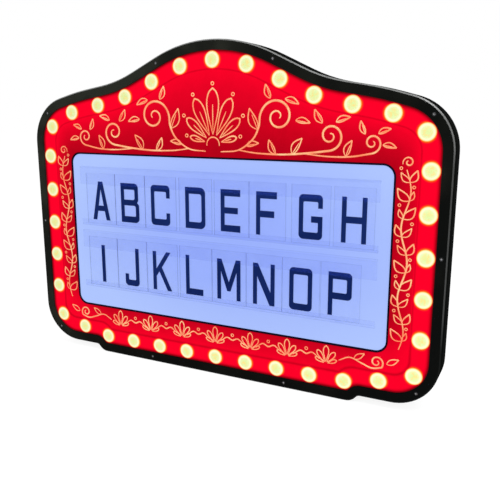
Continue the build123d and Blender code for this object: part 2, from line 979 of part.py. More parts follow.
def make_battery_leads():
    """Wires from the two contacts' tails to the left-hand edge of the board."""
    tail = bay_length / 2 + bay_wall + contact_tail
    board_left = board_x - control_board_length / 2
    solder = board_front + control_board_thickness / 2
    over = bay_top + wire_gap + wire_radius
    turn = (tail + board_left) / 2
    upper = board_z + wire_root
    positive = wire(
        [
            (tail, cell_depth, bay_z),
            (turn, cell_depth, bay_z),
            (turn, solder, board_z),
            (board_left, solder, board_z),
        ]
    )
    negative = wire(
        [
            (-tail, cell_depth, bay_z),
            (-turn, cell_depth, bay_z),
            (-turn, cell_depth, over),
            (turn, cell_depth, over),
            (turn, solder, upper),
            (board_left, solder, upper),
        ]
    )
    return [positive, negative]


# Foot pads.
def make_foot_pads():
    return [pad_block(x, front, 0, 0) for x, front in pad_places()]


nodes = {
    "front_bezel": make_front_frame(),
    "bezel_screws": group(frame_screw(x, z) for x, z, angle in screw_places),
    "rear_case": make_rear_case(),
    "red_face_panel": make_red_panel(),
    "lamp_lenses": group(lamp_lens(x, z) for x, z, angle in lamp_places),
    "lamp_wall": make_lamp_wall(),
    "window_wall": make_window_wall(),
    "letter_panel": make_letter_panel(),
    "upper_row_top_rail": top_rail(upper_card_bottom),
    "upper_row_bottom_rail": bottom_rail(upper_card_bottom),
    "lower_row_top_rail": top_rail(lower_card_bottom),
    "lower_row_bottom_rail": bottom_rail(lower_card_bottom),
    "lamp_strip": make_lamp_strip(),
    "lamp_leds": group(lamp_led(x, z, angle) for x, z, angle in lamp_places),
    "reflector_sheet": make_reflector(),
    "window_light_bars": group(make_light_bars()),
    "window_leds": group(make_window_leds()),
    "control_board": make_control_board(),
    "board_screws": group(board_screw(x, z) for x, z in board_post_places()),
    "control_chip": make_chip(),
    "remote_receiver": make_receiver(),
    "power_switch_body": make_switch_body(),
    "power_switch_slider": make_switch_slider(),
    "mode_switch_body": make_tact_body(),
    "mode_button": make_mode_button(),
    "power_socket": make_power_socket(),
    "battery_cells": group(battery_cell(index) for index in range(cell_count)),
    "battery_positive_contact": make_positive_contact(),
    "battery_negative_contact": make_negative_contact(),
    "battery_cover": make_battery_cover(),
    "battery_leads": group(make_battery_leads()),
    "light_leads": group(make_light_leads()),
    "foot_pads": group(make_foot_pads()),
}

cards = card_row(upper_row_indent, upper_row_gaps, upper_card_bottom)
cards += card_row(lower_row_indent, lower_row_gaps, lower_card_bottom)
for number, card in enumerate(cards, start=1):
    nodes[f"letter_card_{number:02d}"] = card

for name, shape in nodes.items():
    export_step(shape, f"parts/{name}.step")
print(len(nodes), "nodes written")
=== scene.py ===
"""Light-up letter board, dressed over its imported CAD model.

The face looks towards -Y, +Z is up, and Z = 0 is the surface that the foot pads stand on.
Shapes are worked out in millimetres, and put_mesh turns them into metres.
"""

import bmesh
import bpy
import numpy as np
from mathutils import Matrix, Vector


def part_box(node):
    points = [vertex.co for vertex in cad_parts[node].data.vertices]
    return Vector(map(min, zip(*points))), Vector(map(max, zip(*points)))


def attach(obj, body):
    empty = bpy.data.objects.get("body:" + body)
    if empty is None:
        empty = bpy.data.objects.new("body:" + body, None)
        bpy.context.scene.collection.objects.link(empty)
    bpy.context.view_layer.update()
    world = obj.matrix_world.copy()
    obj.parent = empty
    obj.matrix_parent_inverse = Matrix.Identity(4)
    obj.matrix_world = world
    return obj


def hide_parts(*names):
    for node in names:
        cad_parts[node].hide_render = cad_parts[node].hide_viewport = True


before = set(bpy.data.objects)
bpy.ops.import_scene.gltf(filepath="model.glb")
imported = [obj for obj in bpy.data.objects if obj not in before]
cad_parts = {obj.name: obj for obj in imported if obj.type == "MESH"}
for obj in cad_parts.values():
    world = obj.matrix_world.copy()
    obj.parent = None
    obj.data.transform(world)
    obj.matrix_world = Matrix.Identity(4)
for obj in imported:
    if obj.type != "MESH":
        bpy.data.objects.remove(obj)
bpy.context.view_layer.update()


# The view. The camera stands to the right of the board and a little above it, at the distance
# and turn that the photograph's straight edges give, with a lens of about 45 mm.
def add_object(name, data):
    placed = bpy.data.objects.new(name, data)
    bpy.context.scene.collection.objects.link(placed)
    return placed


view_place = (0.2868, -0.5176, 0.2523)
view_right = (0.89722, 0.44158, 0.00153)
view_up = (-0.09554, 0.19106, 0.9769)
view_back = (0.43112, -0.87664, 0.21369)
view_data = bpy.data.cameras.new("view")
view_data.lens = 45.18
view_data.sensor_width = 36
view_data.clip_start = 0.01
view_camera = add_object("view", view_data)
view_turn = Matrix((view_right, view_up, view_back)).transposed().to_4x4()
view_camera.matrix_world = Matrix.Translation(view_place) @ view_turn
bpy.context.scene.camera = view_camera
bpy.context.scene.view_settings.view_transform = "Standard"

# The room. Three soft lamps and an even sky light the board. The floor and the sky are white to
# the eye and in reflections, with the board's soft shadow left on the floor.
board_middle = (0, 0, 0.15)
white = (1, 1, 1, 1)
floor_reach = 6
square = np.array([(-1, -1), (1, -1), (1, 1), (-1, 1)])


def soft_lamp(name, place, size, power):
    """Square lamp that faces the board's middle."""
    lamp = bpy.data.lights.new(name, "AREA")
    lamp.size = size
    lamp.energy = power
    turn = (Vector(board_middle) - Vector(place)).to_track_quat("-Z", "Y").to_matrix().to_4x4()
    add_object(name, lamp).matrix_world = Matrix.Translation(place) @ turn


def wire(node, sockets):
    """Feed a node's sockets with outputs or plain values."""
    for name, value in sockets.items():
        if isinstance(value, bpy.types.NodeSocket):
            node.id_data.links.new(value, node.inputs[name])
        else:
            node.inputs[name].default_value = value


def add_node(tree, kind, sockets={}, **settings):
    node = tree.nodes.new("ShaderNode" + kind)
    for name, value in settings.items():
        setattr(node, name, value)
    wire(node, sockets)
    return node


def calc(operation, *values, kind="Math", output=0):
    """Arithmetic on outputs and numbers, the first of them an output."""
    inputs = dict(enumerate(values))
    return add_node(values[0].id_data, kind, inputs, operation=operation).outputs[output]


def rays(tree, first, *others):
    """1 for light rays of the kinds named, and 0 for all others."""
    path = add_node(tree, "LightPath")
    share = path.outputs[first]
    for kind in others:
        share = calc("MAXIMUM", share, path.outputs[kind])
    return share


def show_apart(tree, output, share, lit, seen):
    """Use one shader for light and another, by a share, for what is seen."""
    mix = add_node(tree, "MixShader", {0: share, 1: lit.outputs[0], 2: seen.outputs[0]})
    add_node(tree, output, {"Surface": mix.outputs[0]})


soft_lamp("overhead_lamp", (0.55, -0.45, 1.15), 0.6, 8)
soft_lamp("side_lamp", (1.25, -0.65, 0.3), 0.5, 5)
soft_lamp("front_lamp", (-0.6, -1.5, 0.9), 1.2, 10)

sky = bpy.data.worlds.new("sky")
sky.use_nodes = True
bpy.context.scene.world = sky
sky_tree = sky.node_tree
sky_tree.nodes.clear()
sky_light = add_node(sky_tree, "Background", {"Color": white, "Strength": 0.62})
sky_seen = add_node(sky_tree, "Background", {"Color": white, "Strength": 1})
sky_share = rays(sky_tree, "Is Camera Ray", "Is Glossy Ray", "Is Transmission Ray")
show_apart(sky_tree, "OutputWorld", sky_share, sky_light, sky_seen)

floor_paint = bpy.data.materials.new("white_floor")
floor_paint.use_nodes = True
floor_tree = floor_paint.node_tree
floor_tree.nodes.clear()
floor_matt = add_node(floor_tree, "BsdfDiffuse", {"Color": (0.82, 0.82, 0.82, 1)})
floor_glow = add_node(floor_tree, "Emission", {"Strength": 1.18})
floor_share = calc("MULTIPLY", rays(floor_tree, "Is Camera Ray", "Is Glossy Ray"), 0.74)
show_apart(floor_tree, "OutputMaterial", floor_share, floor_matt, floor_glow)

floor_mesh = bpy.data.meshes.new("floor")
floor_corners = [(x * floor_reach, y * floor_reach, 0) for x, y in square.tolist()]
floor_mesh.from_pydata(floor_corners, [], [(0, 1, 2, 3)])
floor_mesh.materials.append(floor_paint)
floor = add_object("floor", floor_mesh)

# The front frame and the rear case. Both are black plastic mouldings with a fine satin grain; the
# frame's skirt caps the case's lip, and a narrow seam shows between them on the board's sides.
mm = 0.001


def surface(material, **sockets):
    """Feed sockets of the material's shader, such as base_color."""
    wire(
        material.node_tree.nodes["Principled BSDF"],
        {key.replace("_", " ").title().replace("Ior", "IOR"): sockets[key] for key in sockets},
    )


def finish(name, roughness, specular=0.5, metallic=0):
    """New material, without its colour."""
    material = bpy.data.materials.new(name)
    material.use_nodes = True
    surface(material, roughness=roughness, specular_ior_level=specular, metallic=metallic)
    return material


def ramp(factor, stops):
    """Colour by a factor; a stop is (position, linear red, green, blue) or (position, grey)."""
    node = add_node(factor.id_data, "ValToRGB", {"Fac": factor})
    elements = node.color_ramp.elements
    elements.remove(elements[1])
    elements[0].position = stops[0][0]
    for position, *colour in stops[1:]:
        elements.new(position)
    for element, (position, *colour) in zip(elements, stops):
        element.color = (*(colour * 3)[:3], 1)
    return node.outputs["Color"]


def two_tones(factor, dark, light):
    """Dark to light over the middle part of a mottle's range."""
    return ramp(factor, [(0.3, *dark), (0.7, *light)])


def blend(share, under, over):
    """One colour to another, by a share of 0 to 1."""
    sockets = {0: share, 6: under, 7: over}
    return add_node(share.id_data, "Mix", sockets, data_type="RGBA").outputs[2]


def recolour(share, colour):
    """Lay a colour over the material's own, by a share of 0 to 1."""
    shader = share.id_data.nodes["Principled BSDF"]
    present = shader.inputs["Base Color"].links[0].from_socket
    wire(shader, {"Base Color": blend(share, present, (*colour, 1))})


def place_of(material):
    return add_node(material.node_tree, "TexCoord").outputs["Object"]


def axis_of(vector, axis):
    return add_node(vector.id_data, "SeparateXYZ", {0: vector}).outputs[axis]


def backwards(material):
    """How far a face looks backwards: -1 is the front, 0 any side and 1 the back."""
    return axis_of(add_node(material.node_tree, "NewGeometry").outputs["True Normal"], "Y")


def slope(material, lean):
    """Value that grows along a direction, by so much per metre."""
    return calc("DOT_PRODUCT", place_of(material), lean, kind="VectorMath", output="Value")


def mottle(material, scale, detail=4):
    """Noise over the object's own coordinates, as a factor of 0 to 1."""
    sockets = {"Scale": scale, "Detail": detail, "Roughness": 0.6, "Vector": place_of(material)}
    return add_node(material.node_tree, "TexNoise", sockets).outputs["Fac"]


def relief(material, scale, detail, strength, height):
    """Fine bumps in the form of a mottle, their height in millimetres."""
    rise = mottle(material, scale, detail)
    sockets = {"Strength": strength, "Distance": height * mm, "Height": rise}
    surface(material, normal=add_node(material.node_tree, "Bump", sockets).outputs["Normal"])


def grained_plastic(name, tones, roughness, specular, grain_scale=2600, lean=(0, 0, 0)):
    """Moulded plastic with a fine grain; its tone drifts, and can lean lighter along a slope."""
    material = finish(name, roughness, specular)
    drift = calc("ADD", mottle(material, 14, 3), slope(material, lean))
    sheen = [(0.3, roughness - 0.07), (0.7, roughness + 0.1)]
    wear_and_highlight = ramp(mottle(material, 45, 6), sheen)
    surface(material, base_color=ramp(drift, tones), roughness=wear_and_highlight)
    relief(material, grain_scale, 2, 0.25, 0.06)
    return material


def dress(material, *names):
    """Give CAD nodes their material."""
    for name in names:
        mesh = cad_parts[name].data
        mesh.materials.clear()
        mesh.materials.append(material)


def by_facing(material, stops):
    """Ramp over how far a face looks backwards: 0 is the front, 0.5 any side and 1 the back."""
    sockets = {"Value": backwards(material), "From Min": -1}
    return ramp(add_node(material.node_tree, "MapRange", sockets).outputs[0], stops)


def add_chamfer_highlights(material, front_shine, highlight_colour=(0.1, 0.1, 0.1)):
    """Polish the faces that lean half-way to the front or the back, and paint them lighter in
    patches, both more the higher they stand: a painted highlight, as where the lamps overhead
    catch them. The front and back shine a little, and the sides not."""
    back_shine, edge_shine = 0.35, 1.5
    height = axis_of(place_of(material), "Z")
    # Painted highlight: the chamfers shine more, and are painted lighter, the higher they stand.
    high = ramp(height, [(0.06, 0.02), (0.09, 0.2), (0.21, 0.2), (0.26, 0.9)])
    edges = [(0.1, 0), (0.12, 1), (0.17, 1), (0.19, 0), (0.81, 0), (0.83, 1), (0.88, 1), (0.9, 0)]
    flats = [(0.08, front_shine), (0.1, 0), (0.9, 0), (0.92, back_shine)]
    wear_and_highlight = calc("MULTIPLY", by_facing(material, edges), high)
    shine = calc("MULTIPLY_ADD", wear_and_highlight, edge_shine, by_facing(material, flats))
    surface(material, specular_ior_level=shine)
    # Painted highlight: lighter patches of the highlight colour on the chamfers.
    patches = ramp(mottle(material, 60, 5), [(0.35, 0.5), (0.65, 1)])
    recolour(calc("MULTIPLY", wear_and_highlight, patches), highlight_colour)


def printed_marks(material, marks, grey):
    """Print flat marks on the faces that look backwards. A mark is a bar (x, z, half width, half
    height) or a ring (x, z, middle radius, half line width, "ring"), in millimetres."""
    place = place_of(material)
    here_x, here_z = axis_of(place, "X"), axis_of(place, "Z")
    cover = None
    for x, z, first, second, *kind in marks:
        across, up = calc("SUBTRACT", here_x, x * mm), calc("SUBTRACT", here_z, z * mm)
        if kind:
            both = calc("ADD", calc("MULTIPLY", across, across), calc("MULTIPLY", up, up))
            off_line = calc("ABSOLUTE", calc("SUBTRACT", calc("SQRT", both), first * mm))
            shape = calc("LESS_THAN", off_line, second * mm)
        else:
            beside = calc("LESS_THAN", calc("ABSOLUTE", across), first * mm)
            shape = calc("MULTIPLY", beside, calc("LESS_THAN", calc("ABSOLUTE", up), second * mm))
        cover = calc("MAXIMUM", cover, shape) if cover else shape
    wear_and_glint = ramp(mottle(material, 700), [(0.25, 0.4), (0.45, 1)])
    on_back = by_facing(material, [(0.93, 0), (0.97, 1)])
    recolour(calc("MULTIPLY", calc("MULTIPLY", cover, on_back), wear_and_glint), (grey,) * 3)


frame_tones = [
    (0.36, 0.003, 0.0035, 0.0033), (0.5, 0.0034, 0.0038, 0.0034), (0.62, 0.005, 0.0054, 0.0046),
    (0.74, 0.0076, 0.0083, 0.0067), (0.82, 0.0092, 0.01, 0.0079), (0.92, 0.017, 0.0183, 0.0142),
]
# Painted light: the frame's tone leans lighter towards its upper left, as where the lamps light it
# more, and its chamfers get a painted highlight.
black_plastic = grained_plastic("black_plastic", frame_tones, 0.34, 0, lean=(-0.96, 0, 0.96))
add_chamfer_highlights(black_plastic, 0.004, (0.1, 0.105, 0.1))
dress(black_plastic, "front_bezel")

case_tones = [(0.3, 0.004, 0.0044, 0.0042), (0.7, 0.007, 0.0074, 0.007)]
case_plastic = grained_plastic("case_plastic", case_tones, 0.42, 0)
add_chamfer_highlights(case_plastic, 0.02)
sun_x, sun_z, inlet_x = 122, 49, 138
marks = [(97.5, 42, 0.25, 1.3), (115.2, 42, 1.1, 0.22, "ring")]
marks += [(sun_x, sun_z, 1.3, 0.2, "ring"), (sun_x, sun_z, 0.2, 0.35, "ring")]
marks += [(sun_x, sun_z + 2.6, 0.2, 0.6)]
marks += [(sun_x + side, sun_z, 0.6, 0.2) for side in (-2.6, 2.6)]
marks += [(inlet_x, 48.8, 2.4, 0.2)]
marks += [(inlet_x + side, 47.8, 0.55, 0.2) for side in (-1.85, 0, 1.85)]
marks += [(88, 33, 1.3, 0.22), (88, 33, 0.22, 1.3), (-88, 38.6, 1.3, 0.22)]
printed_marks(case_plastic, marks, 0.55)
dress(case_plastic, "rear_case")

# The red face panel. A sheet of translucent red plastic, held between the frame's flange and the
# case's lip, and lit from behind: brightest over the ring of lamps, darker towards the window,
# with the foot of the wall behind the lamps showing through as a thin dark line.
board_width, board_height, board_depth = 427.4, 316, 26
face_front = -board_depth / 2
crown_radius, crown_slope = 140, 25.2
valley_x, valley_radius, shoulder_slope = 105.5, 140, 9.5
shoulder_x, shoulder_radius, corner_slope = 155, 250, 15
corner_radius, lower_corner_radius = 46, 40
foot_z, foot_rise, foot_half, foot_flare = 0.5, 6.7, 139, 5.5
foot_root_radius, foot_corner_radius = 5, 12
ring_count, ring_middle_z, side_from_x = 8000, 150, 190
lamp_inset = 17.4
lamp_stations = ((0, 1), (164.3, 1), (207.5, 0), (66.8, 0), (98.1, -1), (0, -1))
lamps_between = (5, 2, 4, 4, 3)
window_middle, window_radius, window_half = 131.2, 9.5, np.array([167.3, 79.6])
window_wall, window_gap = 1.4, 0.3
panel_front, sheet_thickness = 1.8, 1.8
frame_edge, wall_shadow, lens_edge = 9.2, 25.5, 7.3
outer_rows = np.concatenate([[1.8, 5, 8], np.arange(9, 27.1, 0.6)])
inner_rows = 26
panel_columns = 1040
full_red = 1.5


def put_piece(name, mesh, material, smooth):
    """Put a mesh of one material in the scene, with points that lie together joined."""
    mesh.materials.clear()
    mesh.materials.append(material)
    mesh.polygons.foreach_set("use_smooth", np.full(len(mesh.polygons), smooth))
    shell = bmesh.new()
    shell.from_mesh(mesh)
    bmesh.ops.remove_doubles(shell, verts=shell.verts, dist=1e-7)
    shell.to_mesh(mesh)
    shell.free()
    return add_object(name, mesh)


def put_mesh(name, points, faces, material, body="board", smooth=True, marks=None):
    """Object from points in millimetres and faces, riding on a body. Marks are an attribute for
    the material: its name, POINT or FACE, and one value for each."""
    mesh = bpy.data.meshes.new(name)
    mesh.from_pydata((points.reshape(-1, 3) * mm).tolist(), [], faces.tolist())
    mesh.update()
    if marks:
        mark_name, domain, values = marks
        mark = mesh.attributes.new(mark_name, "FLOAT", domain)
        mark.data.foreach_set("value", np.asarray(values, np.float32).ravel())
    piece = put_piece(name, mesh, material, smooth)
    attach(piece, body)
    return piece


def mark_of(material, name):
    """The value that a mesh's marks give."""
    return add_node(material.node_tree, "Attribute", attribute_name=name).outputs["Fac"]


def ring_faces(rows, columns):
    """Quads between the points of closed rings that are stored one after the other."""
    row = np.arange(rows - 1)[:, None]
    column = np.arange(columns)[None, :]
    here, after = row * columns + column, row * columns + (column + 1) % columns
    return np.stack([here, after, after + columns, here + columns], -1).reshape(-1, 4)


def upright(points, depth):
    """Points (x, z) stood up at a depth, as (x, depth, z)."""
    return np.stack([points[..., 0], np.full(points.shape[:-1], depth), points[..., 1]], -1)


def outline_corners():
    """Corners of the board's outline, clockwise from the crown's top, and their radii."""
    crown, shoulder, corner = np.tan(np.radians([crown_slope, shoulder_slope, corner_slope]))
    edge_x, base_z = board_width / 2, foot_z + foot_rise
    apex_z = board_height - crown_radius + crown_radius / np.cos(np.radians(crown_slope))
    valley_z = apex_z - valley_x * crown
    shoulder_z = valley_z - (shoulder_x - valley_x) * shoulder
    corner_z = shoulder_z - (edge_x - shoulder_x) * corner
    right = [
        (valley_x, valley_z, valley_radius), (shoulder_x, shoulder_z, shoulder_radius),
        (edge_x, corner_z, corner_radius), (edge_x, base_z, lower_corner_radius),
        (foot_half + foot_flare, base_z, foot_root_radius), (foot_half, foot_z, foot_corner_radius),
    ]
    every = np.array([(0, apex_z, crown_radius), *right, *(np.array(right[::-1]) * (-1, 1, 1))])
    return every[:, :2], every[:, 2]


def unit(vectors):
    return vectors / np.linalg.norm(vectors, axis=-1, keepdims=True)


def board_ring(inset, count=ring_count):
    """Outline drawn so far inside the board's edge, as points evenly spaced along it.

    Each side moves inwards by the inset; each corner gets an arc that touches both sides, whose
    radius shrinks by the inset where the corner stands out and grows by it where it goes in.
    """
    corner, radius = outline_corners()
    run = unit(np.roll(corner, -1, 0) - corner)
    inward = np.stack([run[:, 1], -run[:, 0]], 1)
    run_before, inward_before = np.roll(run, 1, 0), np.roll(inward, 1, 0)
    share = inset / (1 + (inward * inward_before).sum(1))
    corner = corner + (inward + inward_before) * share[:, None]
    turn = run_before[:, 0] * run[:, 1] - run_before[:, 1] * run[:, 0]
    hand = np.where(turn < 0, 1, -1)
    radius = np.where(turn < 0, np.maximum(radius - inset, 0.5), radius + inset)
    angle = np.arccos(np.clip((run * run_before).sum(1), -1, 1))
    reach = radius * np.tan(angle / 2)
    side = np.linalg.norm(np.roll(corner, -1, 0) - corner, axis=1)
    for i in range(len(reach)):
        j = (i + 1) % len(reach)
        excess = reach[i] + reach[j] - 0.98 * side[i]
        if excess > 0:
            reach[i if reach[i] > reach[j] else j] -= excess
    arm = -inward_before * (hand * reach / np.tan(angle / 2))[:, None]
    centre = corner - run_before * reach[:, None] - arm
    swing = -hand[:, None] * angle[:, None] * np.linspace(0, 1, 33)
    arc_x = centre[:, :1] + arm[:, :1] * np.cos(swing) - arm[:, 1:] * np.sin(swing)
    arc_z = centre[:, 1:] + arm[:, :1] * np.sin(swing) + arm[:, 1:] * np.cos(swing)
    path = np.roll(np.stack([arc_x, arc_z], -1).reshape(-1, 2), -16, 0)
    path = np.vstack([path, path[:1]])
    reached = np.append(0, np.cumsum(np.linalg.norm(np.diff(path, axis=0), axis=1)))
    wanted = np.linspace(0, reached[-1], count, endpoint=False)
    return np.stack([np.interp(wanted, reached, path[:, axis]) for axis in (0, 1)], 1)


def on_ring(ring, mark, part):
    """Index of a point on the ring's right half: where x is the mark, on the upper (1) or lower
    (-1) part, or where z is the mark, on the side (0)."""
    x, z = ring[: len(ring) // 2 + 1].T
    miss, elsewhere = abs(x - mark), (z - ring_middle_z) * part < 0
    if part == 0:
        miss, elsewhere = abs(z - mark), x < side_from_x
    return int(np.argmin(np.where(elsewhere, np.inf, miss)))


def lamp_places():
    """Middles of the lamps: evenly spaced along their ring between six set places of each half."""
    ring = board_ring(lamp_inset)
    stations = [on_ring(ring, *station) for station in lamp_stations]
    runs = zip(stations, stations[1:], lamps_between)
    index = [np.linspace(begin, end, count, endpoint=False) for begin, end, count in runs]
    right = ring[np.round(np.append(np.concatenate(index), stations[-1])).astype(int)]
    return np.vstack([right, right[1:-1] * (-1, 1)])


def window_point(points, grow):
    """Nearest points on the letter window's rounded outline, drawn so far outside the window."""
    reach = window_half - window_radius
    centred = points - (0, window_middle)
    core = np.clip(centred, -reach, reach)
    return core + unit(centred - core) * (window_radius + grow) + (0, window_middle)


def panel_grid():
    """Points of the red sheet: rings parallel to the board's edge, then rings that close in on
    the window along the lines that meet its outline squarely."""
    rings = [board_ring(inset, panel_columns) for inset in outer_rows]
    inner = window_point(rings[-1], window_wall + window_gap)
    steps = np.linspace(0, 1, inner_rows + 1)[1:]
    return np.array(rings + [rings[-1] * (1 - step) + inner * step for step in steps])


def ease(value, low, high):
    """0 below low, 1 above high, with a smooth rise between."""
    share = np.clip((value - low) / (high - low), 0, 1)
    return share * share * (3 - 2 * share)


def bump(distance, width):
    """1 at no distance, falling away on a bell curve of so much width."""
    return np.exp(-((distance / width) ** 2))


def panel_light(points):
    """Red light that each point of the sheet gives, with 1 for full, and more close to a lamp.

    Full over the ring of lamps. Inside the lamps' wall it starts lower and falls towards the
    window: most over the window, less beside it, and least in the lower corners. It is less
    beside the frame, as a painted shade of the frame's inner edge, and over the foot of the wall,
    and raised by each lamp's halo.
    """
    inset = np.append(outer_rows, np.full(inner_rows, 100))[:, None]
    row = np.arange(len(points))[:, None] - len(outer_rows) + 1
    x, z = abs(points[..., 0]), points[..., 1]
    above, beside = ease(z, 190, 225), ease(x, 150, 172) * ease(z, 55, 85)
    corner, low = ease(x, 140, 165) * (1 - ease(z, 50, 75)), 1 - ease(z, 40, 70)
    at_wall = 0.92 - 0.2 * beside * (1 - above) + 0.05 * corner
    at_window = 0.55 - 0.17 * above - 0.11 * beside * (1 - above) + 0.25 * corner
    inwards = np.clip(row / inner_rows, 0, 1) ** 0.8
    light = np.where(row < 0, 0.985, at_wall + (at_window - at_wall) * inwards)
    # Painted shade: the frame's inner edge darkens the sheet beside it.
    light = light - 0.8 * bump(np.maximum(inset - frame_edge, 0), 2.1)
    light = light - (0.34 + 0.06 * low) * bump(inset - wall_shadow, 0.75 + 0.5 * low)
    away = np.min([np.linalg.norm(points - lamp, axis=-1) for lamp in lamps], axis=0)
    return light + 0.34 * bump(np.maximum(away - lens_edge, 0), 1.1)


lamps = lamp_places()
panel_points = panel_grid()
panel_level = panel_light(panel_points)
panel_face = upright(panel_points, face_front + panel_front)

red_plastic = finish("red_plastic", 0.4, 0.008)
red_grain = mottle(red_plastic, 90, 3)
red_even = calc("SUBTRACT", red_grain, 0.6)
red_sum = calc("MULTIPLY_ADD", red_even, 0.05, mark_of(red_plastic, "light"))
red_stops = [(level / full_red, level - 0.1, 0, 0.019 * level**1.5) for level in (0.1, 0.5, 1)]
red_stops += [(0.76, 0.98, 0.035, 0.006), (0.86, 1, 0.2, 0.01), (0.96, 1, 0.5, 0.06)]
surface(
    red_plastic,
    emission_color=ramp(calc("DIVIDE", red_sum, full_red), red_stops),
    emission_strength=by_facing(red_plastic, [(0.1, 1), (0.3, 0.12)]),
    base_color=two_tones(red_grain, (0.09, 0, 0.002), (0.12, 0, 0.003)),
)
red_back = panel_face[[-1, 0]] + (0, sheet_thickness, 0)
red_rows = np.concatenate([panel_face, red_back, panel_face[:1]])
red_faces = ring_faces(*red_rows.shape[:2])[:, ::-1]
red_marks = ("light", "POINT", np.concatenate([panel_level, panel_level[[-1, 0, 0]]]))
red_panel = put_mesh("red_panel", red_rows, red_faces, red_plastic, smooth=False, marks=red_marks)
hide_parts("red_face_panel")

# The drawing on the red panel. Fine raised lines of peach-gold ink: a fan with scrolls to both
# sides over the window, a leafy stem up each side, and small sprays along the foot.
ink_height = 0.09
ink_front = face_front + panel_front
fan_middle, fan_root = np.array([0, 224]), 9
stem_x, stem_sway, stem_foot = 178.2, 3.2, 56


def heading(angle):
    """Points at distance 1 in the directions of angles in radians."""
    return np.stack([np.cos(angle), np.sin(angle)], -1)


def bend_through(points):
    """Smooth line through points: a cubic between each pair, its slopes set by the next ones."""
    points = np.asarray(points, float)
    ends = np.vstack([2 * points[:1] - points[1:2], points, 2 * points[-1:] - points[-2:-1]])
    step = np.linspace(0, 1, 14, endpoint=False)[None, :, None]
    a, b, c, d = (ends[i : len(ends) - 3 + i][:, None] for i in range(4))
    line = b + 0.5 * step * (c - a) + step**2 * (a - 2.5 * b + 2 * c - 0.5 * d)
    line = line + step**3 * (1.5 * (b - c) + 0.5 * (d - a))
    return np.vstack([line.reshape(-1, 2), points[-1:]])


def curl(middle, reach, tip, start, turns, count=60):
    """Spiral round a middle: its radius shrinks evenly from reach to tip as it turns."""
    share = np.linspace(0, 1, count)
    radius = reach + (tip - reach) * share**0.8
    return np.array(middle) + radius[:, None] * heading(np.radians(start + 360 * turns * share))


def leaf(base, tip, fat, bend=0, belly=0.8):
    """Closed leaf: two bows between its base and its tip, leaning by the bend. A belly over 1
    moves the widest place towards the tip, as on a petal."""
    base, tip = np.array(base, float), np.array(tip, float)
    along = tip - base
    across = np.array([-along[1], along[0]])
    share = np.linspace(0, 1, 15)[:, None]
    bow = across * (fat * np.sin(np.pi * share**belly) ** (1 / belly if belly > 1 else 1))
    spine = base + along * share + bend * np.sin(np.pi * share) * across
    return np.vstack([spine + bow, (spine - bow)[::-1]])


def berry(middle, radius):
    """Small ring."""
    return np.array(middle) + radius * heading(np.linspace(0, 2 * np.pi, 17))


def ink_line(points, thin, thick):
    """Band of ink along a line: its width swells from thin at the ends to thick half-way, and its
    section is a flat ridge with its foot inside the sheet. A line that comes back to its start
    runs on into itself; any other is closed at both ends."""
    run = unit(np.gradient(points, axis=0) + 1e-9)
    share = np.linspace(0, 1, len(points))[:, None]
    half = (thin + (thick - thin) * np.sin(np.pi * share) ** 0.7) / 2
    side = np.stack([-run[:, 1], run[:, 0]], 1) * half
    edge, top, foot = ink_front - 0.02, ink_front - ink_height, ink_front + 0.1
    corners = ((points + side, edge), (points, top), (points - side, edge), (points, foot))
    section = np.stack([upright(place, depth) for place, depth in corners], 1)
    last = 4 * (len(points) - 1)
    if np.allclose(points[0], points[-1]):
        ends = [(last + i, last + (i + 1) % 4, (i + 1) % 4, i) for i in range(4)]
    else:
        ends = [(3, 2, 1, 0), (last, last + 1, last + 2, last + 3)]
    return section.reshape(-1, 3), np.vstack([ring_faces(len(points), 4), ends])


def joined(meshes):
    """Several (points, faces) as one mesh."""
    before = np.cumsum([0] + [len(points) for points, _ in meshes])
    every_face = [faces + count for (_, faces), count in zip(meshes, before)]
    return np.vstack([points for points, _ in meshes]), np.vstack(every_face)


def scroll(lead, middle, reach, tip, start, turns):
    """Stem through the lead's points that runs on into a spiral."""
    spiral = curl(middle, reach, tip, start, turns, 80)
    return np.vstack([bend_through([*lead, tuple(spiral[0])]), spiral[1:]])


def crown_drawing():
    """Right half of the drawing over the window: half the fan, three scrolls and their leaves."""
    for turn, reach in ((90, 50), (65, 45), (40, 36), (15, 25)):
        way = heading(np.radians(turn))
        root, length = fan_middle + fan_root * way, reach - fan_root
        yield leaf(root, root + length * way, 0.15, belly=1.7), 0.8, 1.4
        yield np.linspace(root + 4 * way, root + 0.65 * length * way, 8), 0.6, 1.1
        yield berry(fan_middle + (reach + 4) * way, 1.4), 0.8, 1
    yield curl(fan_middle, 6.5, 6.5, -10, 0.56), 0.8, 1.2
    inner = [(8, 217.5), (26, 219.5), (40, 229), (46, 240)]
    middle = [(26, 219.5), (44, 217.3), (68, 216.8), (92, 218.6)]
    outer = [(88, 218.2), (110, 216.4), (130, 216.8)]
    yield scroll(inner, (64, 249), 17, 2, 180, -1.6), 0.9, 2
    yield scroll(middle, (112, 233.5), 12.3, 1.8, -90, 1.5), 0.9, 1.9
    yield scroll(outer, (148, 228.5), 8.6, 1.5, -90, 1.4), 0.9, 1.6
    for base, tip, fat in (
        ((45, 238), (37, 256), 0.2), ((34, 223.5), (46, 226), 0.18),
        ((57, 264.5), (52.5, 276.3), 0.2), ((71, 264), (83.5, 259.6), 0.18),
        ((81, 246), (94, 244), 0.18), ((62, 217), (56, 229), 0.2),
        ((78, 217.5), (87, 231), 0.2), ((105, 244), (98, 255), 0.2),
        ((117, 245), (129, 249), 0.18), ((126, 217), (131, 230), 0.2),
        ((142, 235.5), (138, 246), 0.18), ((153, 236), (163, 240), 0.18),
        ((157, 227), (168, 225), 0.18),
    ):
        yield leaf(base, tip, fat, 0.08), 0.7, 1.3
        vein = [np.array(base) * (1 - share) + np.array(tip) * share for share in (0.04, 0.35, 0.7)]
        yield bend_through(vein), 0.5, 0.9


